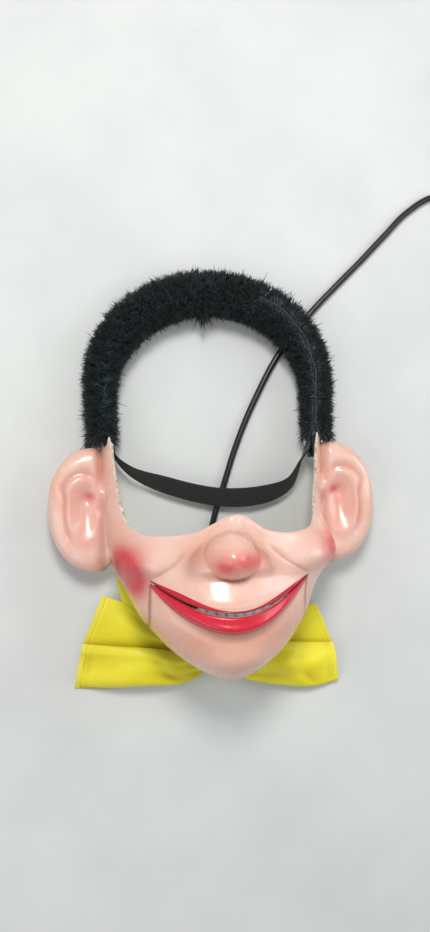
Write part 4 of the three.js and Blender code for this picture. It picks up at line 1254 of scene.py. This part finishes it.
def bow_wing(name, wing, node):
    """One loop of the bow: a back layer, a pleat and a front layer over it, gathered at the knot."""
    draws = np.random.default_rng(wing["seed"])
    rows = 120
    top, fold, bottom = (smooth_curve(wing[k], rows) for k in ("top", "fold", "bottom"))
    u = np.linspace(0, 1, rows)
    lift = wing["height"] * (0.55 + 0.45 * np.sin(np.pi * np.clip(u * 1.1, 0, 1)) ** 0.7)
    tuck = fold + (fold - bottom) * -0.28
    stations = [  # share across the cloth, place in the plane, height above the table
        (0.00, top, 3.2 + 1.5 * u),
        (0.20, top * 0.5 + fold * 0.5, 5.0 + 2.0 * u),
        (0.36, fold * 0.9 + tuck * 0.1, 4.2 + 0 * u),
        (0.42, tuck, 4.6 + 0 * u),
        (0.48, fold * 0.75 + tuck * 0.25, 6.4 + 0.12 * lift),
        (0.53, fold + (fold - bottom) * 0.02, 0.78 * lift + 2),
        (0.58, fold * 0.84 + bottom * 0.16, lift + 2.4),
        (0.78, fold * 0.42 + bottom * 0.58, lift + 1.2),
        (0.94, fold * 0.07 + bottom * 0.93, 0.55 * lift + 1),
        (1.00, bottom, 1.4 + 0 * u),
    ]
    shares = np.array([s for s, _, _ in stations])
    across = np.linspace(0, 1, 110)
    grid = np.zeros((rows, len(across), 3))
    for r in range(rows):
        knots = np.array([[*flat[r], height[r]] for _, flat, height in stations])
        fine = spline(knots, 300)
        where = np.interp(np.linspace(0, len(knots) - 1, 300), np.arange(len(knots)), shares)
        grid[r] = np.stack([np.interp(across, where, fine[:, i]) for i in range(3)], 1)
    uu, vv = np.meshgrid(u, across, indexing="ij")
    gather = 1.5 * np.sin(vv * 34 + 2.5 * uu + 1.2 * np.sin(3 * vv)) * (1 - uu) ** 1.3
    fan = 1.5 * soft_noise(uu * 2.2, vv * 8, draws, 5, 0.8, 2.2) * (0.35 + 0.65 * np.sin(np.pi * uu))
    spread = np.sin(2 * np.pi * (vv * wing["folds"] + 0.35 * uu) + wing["seed"])
    radiating = 2.1 * spread * ramp(uu, 0, 0.2) * (1 - 0.55 * uu) * ramp(vv, 0.5, 0.6)
    slack = 2.0 * soft_noise(uu * 3.2, vv * 4.5, draws, 4, 0.6, 1.7) * ramp(uu, 0.1, 0.4)
    curl = uu - wing["curl"] + 0.9 * (vv - 0.6) ** 2 * wing["bend"]
    hook = 1.9 * hill(curl + 0.1, 0.075) - 2.1 * hill(curl, 0.055)
    hook = hook * ramp(vv, 0.54, 0.66) * (1 - ramp(vv, 0.82, 0.99))
    ripple = (gather + fan + radiating + slack + hook) * ramp(grid[..., 2], 1.2, 6)
    grid[..., 2] += ripple
    end = ramp(uu, 0.94, 0.955) * (1 - ramp(uu, 0.955, 0.965))
    grid[..., 2] -= 0.5 * end
    grid[..., 2] = np.maximum(grid[..., 2], 0.7)
    smooth_z = grid[..., 2]
    nearby = sum(np.roll(smooth_z, k, a) for a in (0, 1) for k in (-6, 6)) / 4
    # Painted shade where the cloth lies below its surroundings, and a painted shadow along the pleat's tuck.
    cavity = np.clip((nearby - smooth_z) / 1.7, 0, 1) * (uu > 0.05) * (uu < 0.96)
    cavity = np.maximum(cavity, 0.8 * hill(vv - 0.42, 0.07))
    hem = ramp(uu, 0.95, 0.97)
    obj = cloth_solid(name, grid, 0.6, {"cavity": cavity, "hem": hem})
    place(obj, "mask", "yellow_satin", node)
    return obj


def make_knot():
    """Band of the same satin, wrapped round the middle of the bow."""
    low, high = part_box("bow_knot")
    centre, half = (low + high) / 2 / MM, (high - low) / 2 / MM
    columns, around = 40, 120
    angle = np.linspace(0, 2 * np.pi, around, endpoint=False)
    rings = []
    for w in np.linspace(-1, 1, columns):
        pinch = 1 - 0.16 * abs(w) ** 3
        pleat = 0.5 * math.sin(w * 9) + 0.35 * math.sin(w * 17 + 1)
        cos, sin = np.cos(angle), np.sin(angle)
        square = (np.abs(cos) ** 3 + np.abs(sin) ** 3) ** (-1 / 3)
        reach = (pinch * square)[:, None] * np.stack([cos * (half.y - 1), sin * (half.z - 1)], 1)
        push = (pleat + 0.4 * np.sin(angle * 3 + w * 4))[:, None] * unit(reach)
        x = np.full((around, 1), centre.x + w * (half.x - 0.4))
        rings.append(np.concatenate([x, np.array([[centre.y, centre.z]]) + reach + push], 1))
    rings = np.array(rings)
    inside = rings[::-1].copy()
    middle = np.array([centre.y, centre.z])
    inside[..., 1:] = middle + (inside[..., 1:] - middle) * 0.93
    both = np.concatenate([rings, inside], 0)
    count = both.shape[0]
    faces = grid_quads(count, around, closed=True)
    last = (count - 1) * around
    faces += [((i + 1) % around, i, last + i, last + (i + 1) % around) for i in range(around)]
    both[..., 2] = np.maximum(both[..., 2], 0.25)
    obj = mesh_piece("bow_knot_band", both.reshape(-1, 3), faces, [SATIN], 70)
    w = np.concatenate([np.linspace(-1, 1, columns), np.linspace(1, -1, columns)])
    # Painted shade in the valleys of the pleats.
    pleats = np.clip(-np.sin(w * 9), 0, 1) * 0.6
    paint_field(obj, cavity=np.repeat(pleats, around), hem=np.zeros(count * around))
    place(obj, "mask", "yellow_satin", "bow_knot")


RIBBON_ROUTE = [(79.3, -198, 22), (79.3, -206, 15), (74.5, -217, 8), (72.5, -229, 5.5)]
RIBBON_WIDTHS = [(0, 0.5, 1), (0, 0.5, 1), (0.9, 0, 0.4), (1, 0.3, 0), (1, 0.4, 0)]
RIBBON_WIDTH = 9.0


def make_ribbon(name, side, foot, node):
    """Ribbon from the tack behind the cheek to the bow's back layer."""
    route = [(side * x, y, z) for x, y, z in [*RIBBON_ROUTE, foot]]
    widths = [(side * x, y, z) for x, y, z in RIBBON_WIDTHS]
    path, wide, up = band_frames(route, widths, 60)
    across = np.linspace(-1, 1, 25)
    cup = 0.25 * (across**2)[None, :, None] * up[:, None]
    grid = path[:, None] + wide[:, None] * (across * RIBBON_WIDTH / 2)[None, :, None] + cup
    edge = np.broadcast_to(ramp(np.abs(across), 0.8, 0.9)[None], grid.shape[:2])
    obj = cloth_solid(name, grid, 0.5, {"cavity": np.zeros(grid.shape[:2]), "hem": edge})
    place(obj, "mask", "yellow_satin", node)


# ---------- cable ----------
CABLE_D = 5.0
CABLE_ROUTE = [
    (-50, -246.5, 35.5), (-50, -250, 35.2), (-48.3, -256.5, 32.8), (-43, -263, 28.5), (-35, -267.5, 24),
    (-25, -267, 19), (-16, -261, 14.5), (-11, -252, 10.5), (-9, -240, 6.5), (-7, -226, 3.6),
    (-4, -205, 2.5), (2, -179, 2.5), (11, -152, 2.5), (23, -118, 2.5), (39, -83, 2.5),
    (61, -45, 2.5), (85, -16, 2.5), (110, 9, 2.5), (131, 29, 2.5), (152, 50, 2.5),
    (174, 71, 2.5), (198, 84, 2.5), (216, 85, 2.5), (233, 84.6, 2.5),
]
GRIP_LEAD = [
    (270.6, 80.6, 9.0), (274.4, 78.0, 9.2), (277.4, 74.6, 9.4), (279.6, 70.7, 9.6), (281.0, 66.5, 9.8),
    (281.4, 64.4, 9.9), (281.5, 62.4, 10),
]
COIL_AT = (254.0, 116.0)
COIL_TURNS = 4
COIL_MIDDLE = 27.5


def coil_points():
    """Two layers: in from the outer turn on the table, then out again on top."""
    points = []
    steps = 16
    for i in range(COIL_TURNS * steps + 1):
        turn = i / steps
        angle = -math.pi / 2 + 2 * math.pi * turn
        inwards = 2 - abs(turn - 2)
        radius = COIL_MIDDLE + CABLE_D - inwards * CABLE_D
        height = 3.9 + CABLE_D * float(ramp(np.array(turn), 1.7, 2.3))
        x, y = COIL_AT[0] + radius * math.cos(angle), COIL_AT[1] + radius * math.sin(angle)
        points.append((x, y, height))
    return points


def make_cable():
    points = CABLE_ROUTE + coil_points() + GRIP_LEAD
    curve = bpy.data.curves.new("cable", "CURVE")
    curve.dimensions = "3D"
    curve.bevel_depth = CABLE_D / 2 * MM
    curve.bevel_resolution = 6
    curve.resolution_u = 6
    curve.use_fill_caps = True
    line = curve.splines.new("BEZIER")
    line.bezier_points.add(len(points) - 1)
    for spot, point in zip(line.bezier_points, points):
        spot.co = Vector(point) * MM
        spot.handle_left_type = spot.handle_right_type = "AUTO"
    curve.materials.append(CABLE)
    obj = new_object("cable", curve)
    place(obj, "mask", "cable_black", "cable_housing", "cable_coil", "cable_lead")
    length = path_length(spline(points, 3000)) * MM


# ---------- hardware ----------
CORNER_ANGLE = 35.0  # an edge sharper than this gets rounded
LOOKS = {
    "block_wood": WOOD,
    "steel": STEEL,
    "brass": BRASS,
    "grip_plastic": GRIP_PLASTIC,
    "band_plastic": BAND_PLASTIC,
    "black_webbing": WEBBING,
}
PAIRED_HARDWARE = [  # name after its side, finish, body, material slot, rounding of its edges
    ("hinge_block", "sanded", "mask", "block_wood", 0.7),
    ("pivot_screw", "plated", "mask", "steel", 0.2),
    ("temple_rivet", "domed", "mask", "steel", 0.2),
    ("ribbon_tack", "domed", "mask", "steel", 0.15),
    ("jaw_arm", "bent", "jaw", "steel", 0.35),
    ("arm_screw_1", "plated", "jaw", "steel", 0.2),
    ("arm_screw_2", "plated", "jaw", "steel", 0.2),
]
SINGLE_HARDWARE = [
    ("cable_stop_block", "sanded", "mask", "block_wood", 0.7),
    ("spring_peg", "sanded", "mask", "block_wood", 0.3),
    ("mask_ferrule", "turned", "mask", "brass", 0.25),
    ("grip_ferrule", "turned", "mask", "brass", 0.25),
    ("wire_nipple", "turned", "jaw", "brass", 0.2),
    ("lever_nipple", "turned", "lever", "brass", 0.2),
    ("lever_pin", "turned", "mask", "steel", 0.3),
    ("grip_body", "moulded", "mask", "grip_plastic", 1.6),
    ("squeeze_lever", "moulded", "lever", "grip_plastic", 1.2),
]


def rounded(node, finish, body, slot, edge):
    """A copy of a CAD part with its corners taken off, in the part's place."""
    name = node + "_" + finish
    mesh = NODES[node].data.copy()
    mesh.name = name
    mesh.materials.clear()
    mesh.materials.append(LOOKS[slot])
    for layer in [a for a in mesh.attributes if a.name == "custom_normal"]:
        mesh.attributes.remove(layer)
    work = bmesh.new()
    work.from_mesh(mesh)
    bmesh.ops.remove_doubles(work, verts=work.verts, dist=0.02 * MM)
    bmesh.ops.dissolve_limit(work, angle_limit=math.radians(1.5), verts=work.verts, edges=work.edges)
    folded = [e for e in work.edges if len(e.link_faces) == 2]
    bmesh.ops.bevel(
        work,
        geom=[e for e in folded if e.calc_face_angle() > math.radians(CORNER_ANGLE)],
        offset=edge * MM,
        offset_type="OFFSET",
        segments=3,
        profile=0.5,
        affect="EDGES",
        clamp_overlap=True,
    )
    bmesh.ops.recalc_face_normals(work, faces=work.faces)
    work.to_mesh(mesh)
    work.free()
    mesh.shade_smooth()
    mesh.set_sharp_from_angle(angle=math.radians(40))
    return place(new_object(name, mesh), body, slot, node)


def make_hardware():
    for side in ("left_", "right_"):
        for node, *how in PAIRED_HARDWARE:
            rounded(side + node, *how)
    for how in SINGLE_HARDWARE:
        rounded(*how)
    tie = rounded("coil_tie", "band", "mask", "black_webbing", 0.3)
    points = np.array([v.co for v in tie.data.vertices]) / MM
    paint_field(tie, rib=0.5 + 0.5 * np.cos(points[:, 0] * 4), along=points[:, 1])
    rounded("headband_core", "strip", "mask", "band_plastic", 0.5)


def blended(obj, other, start, end):
    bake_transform(obj, "mask", other, start=[c * MM for c in start], end=[c * MM for c in end])


def make_spring():
    """Return spring between its two pegs, with a hook at each end."""
    foot, head = np.array([53.5, -229, 50.0]), np.array([50.0, -196, 58.0])
    along = unit(head - foot)
    low, high = foot + along * 2.6, head - along * 3.4
    side = unit(np.cross(along, [0.0, 0.0, 1.0]))
    up = np.cross(along, side)
    turns, wire, reach = 15, 0.4, 2.35
    t = np.linspace(0, 1, turns * 20)
    angle = t * turns * 2 * np.pi
    coil = low + (high - low) * (0.1 + 0.8 * t)[:, None]
    coil = coil + reach * (np.cos(angle)[:, None] * side + np.sin(angle)[:, None] * up)
    hook = np.linspace(0, 1, 14)[:, None]
    start = low - along * 0.9
    finish = high + along * 1.4
    lead_in = start + (coil[0] - start) * hook[:-1] ** 1.4
    lead_out = coil[-1] + (finish - coil[-1]) * hook[1:] ** 0.7
    path = np.vstack([lead_in, coil, lead_out])
    obj = stack("return_spring_coil", tube_rings(path, wire, 8), [STEEL], 60)
    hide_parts("return_spring")
    blended(obj, "jaw", high, low)


def make_wire(name, node, other, start, end):
    """Stranded inner wire between a ferrule and a nipple."""
    start, end = np.array(start), np.array(end)
    steps, around, strands = 60, 24, 6
    turn = np.linspace(0, 2 * np.pi, around, endpoint=False)
    lay = np.arange(steps) * 0.35
    lobes = 0.72 + 0.08 * np.cos(strands * turn[None] - lay[:, None])
    obj = stack(name, tube_rings(np.linspace(start, end, steps), lobes, around), [STEEL], 80)
    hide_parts(node)
    blended(obj, other, start, end)


def make_floor():
    reach = 6000.0
    corners = [(-reach, -reach, 0), (reach, -reach, 0), (reach, reach, 0), (-reach, reach, 0)]
    floor = mesh_piece("floor", corners, [(0, 1, 2, 3)], [floor_material()])
    floor.location.z = -0.4 * MM


make_camera()
make_light()
make_floor()
make_hardware()
make_cable()
make_shell()
make_jaw()
make_teeth()
make_ear("right_ear_painted", 1, "right_ear")
make_ear("left_ear_painted", -1, "left_ear")
make_fur()
make_strap()
bow_wing("bow_left_loop", LEFT_WING, "bow_left_wing")
bow_wing("bow_right_loop", RIGHT_WING, "bow_right_wing")
make_knot()
make_ribbon("right_ribbon_satin", 1, (70.5, -259, 3.2), "right_ribbon")
make_ribbon("left_ribbon_satin", -1, (68, -252, 3.2), "left_ribbon")
make_spring()
make_wire("pull_wire_strand", "pull_wire", "jaw", (-50, -233.6, 35.7), (-50, -211.2, 52.9))
make_wire("grip_wire_strand", "grip_wire", "lever", (281.5, 49.5, 10), (281.5, 43.9, 10))
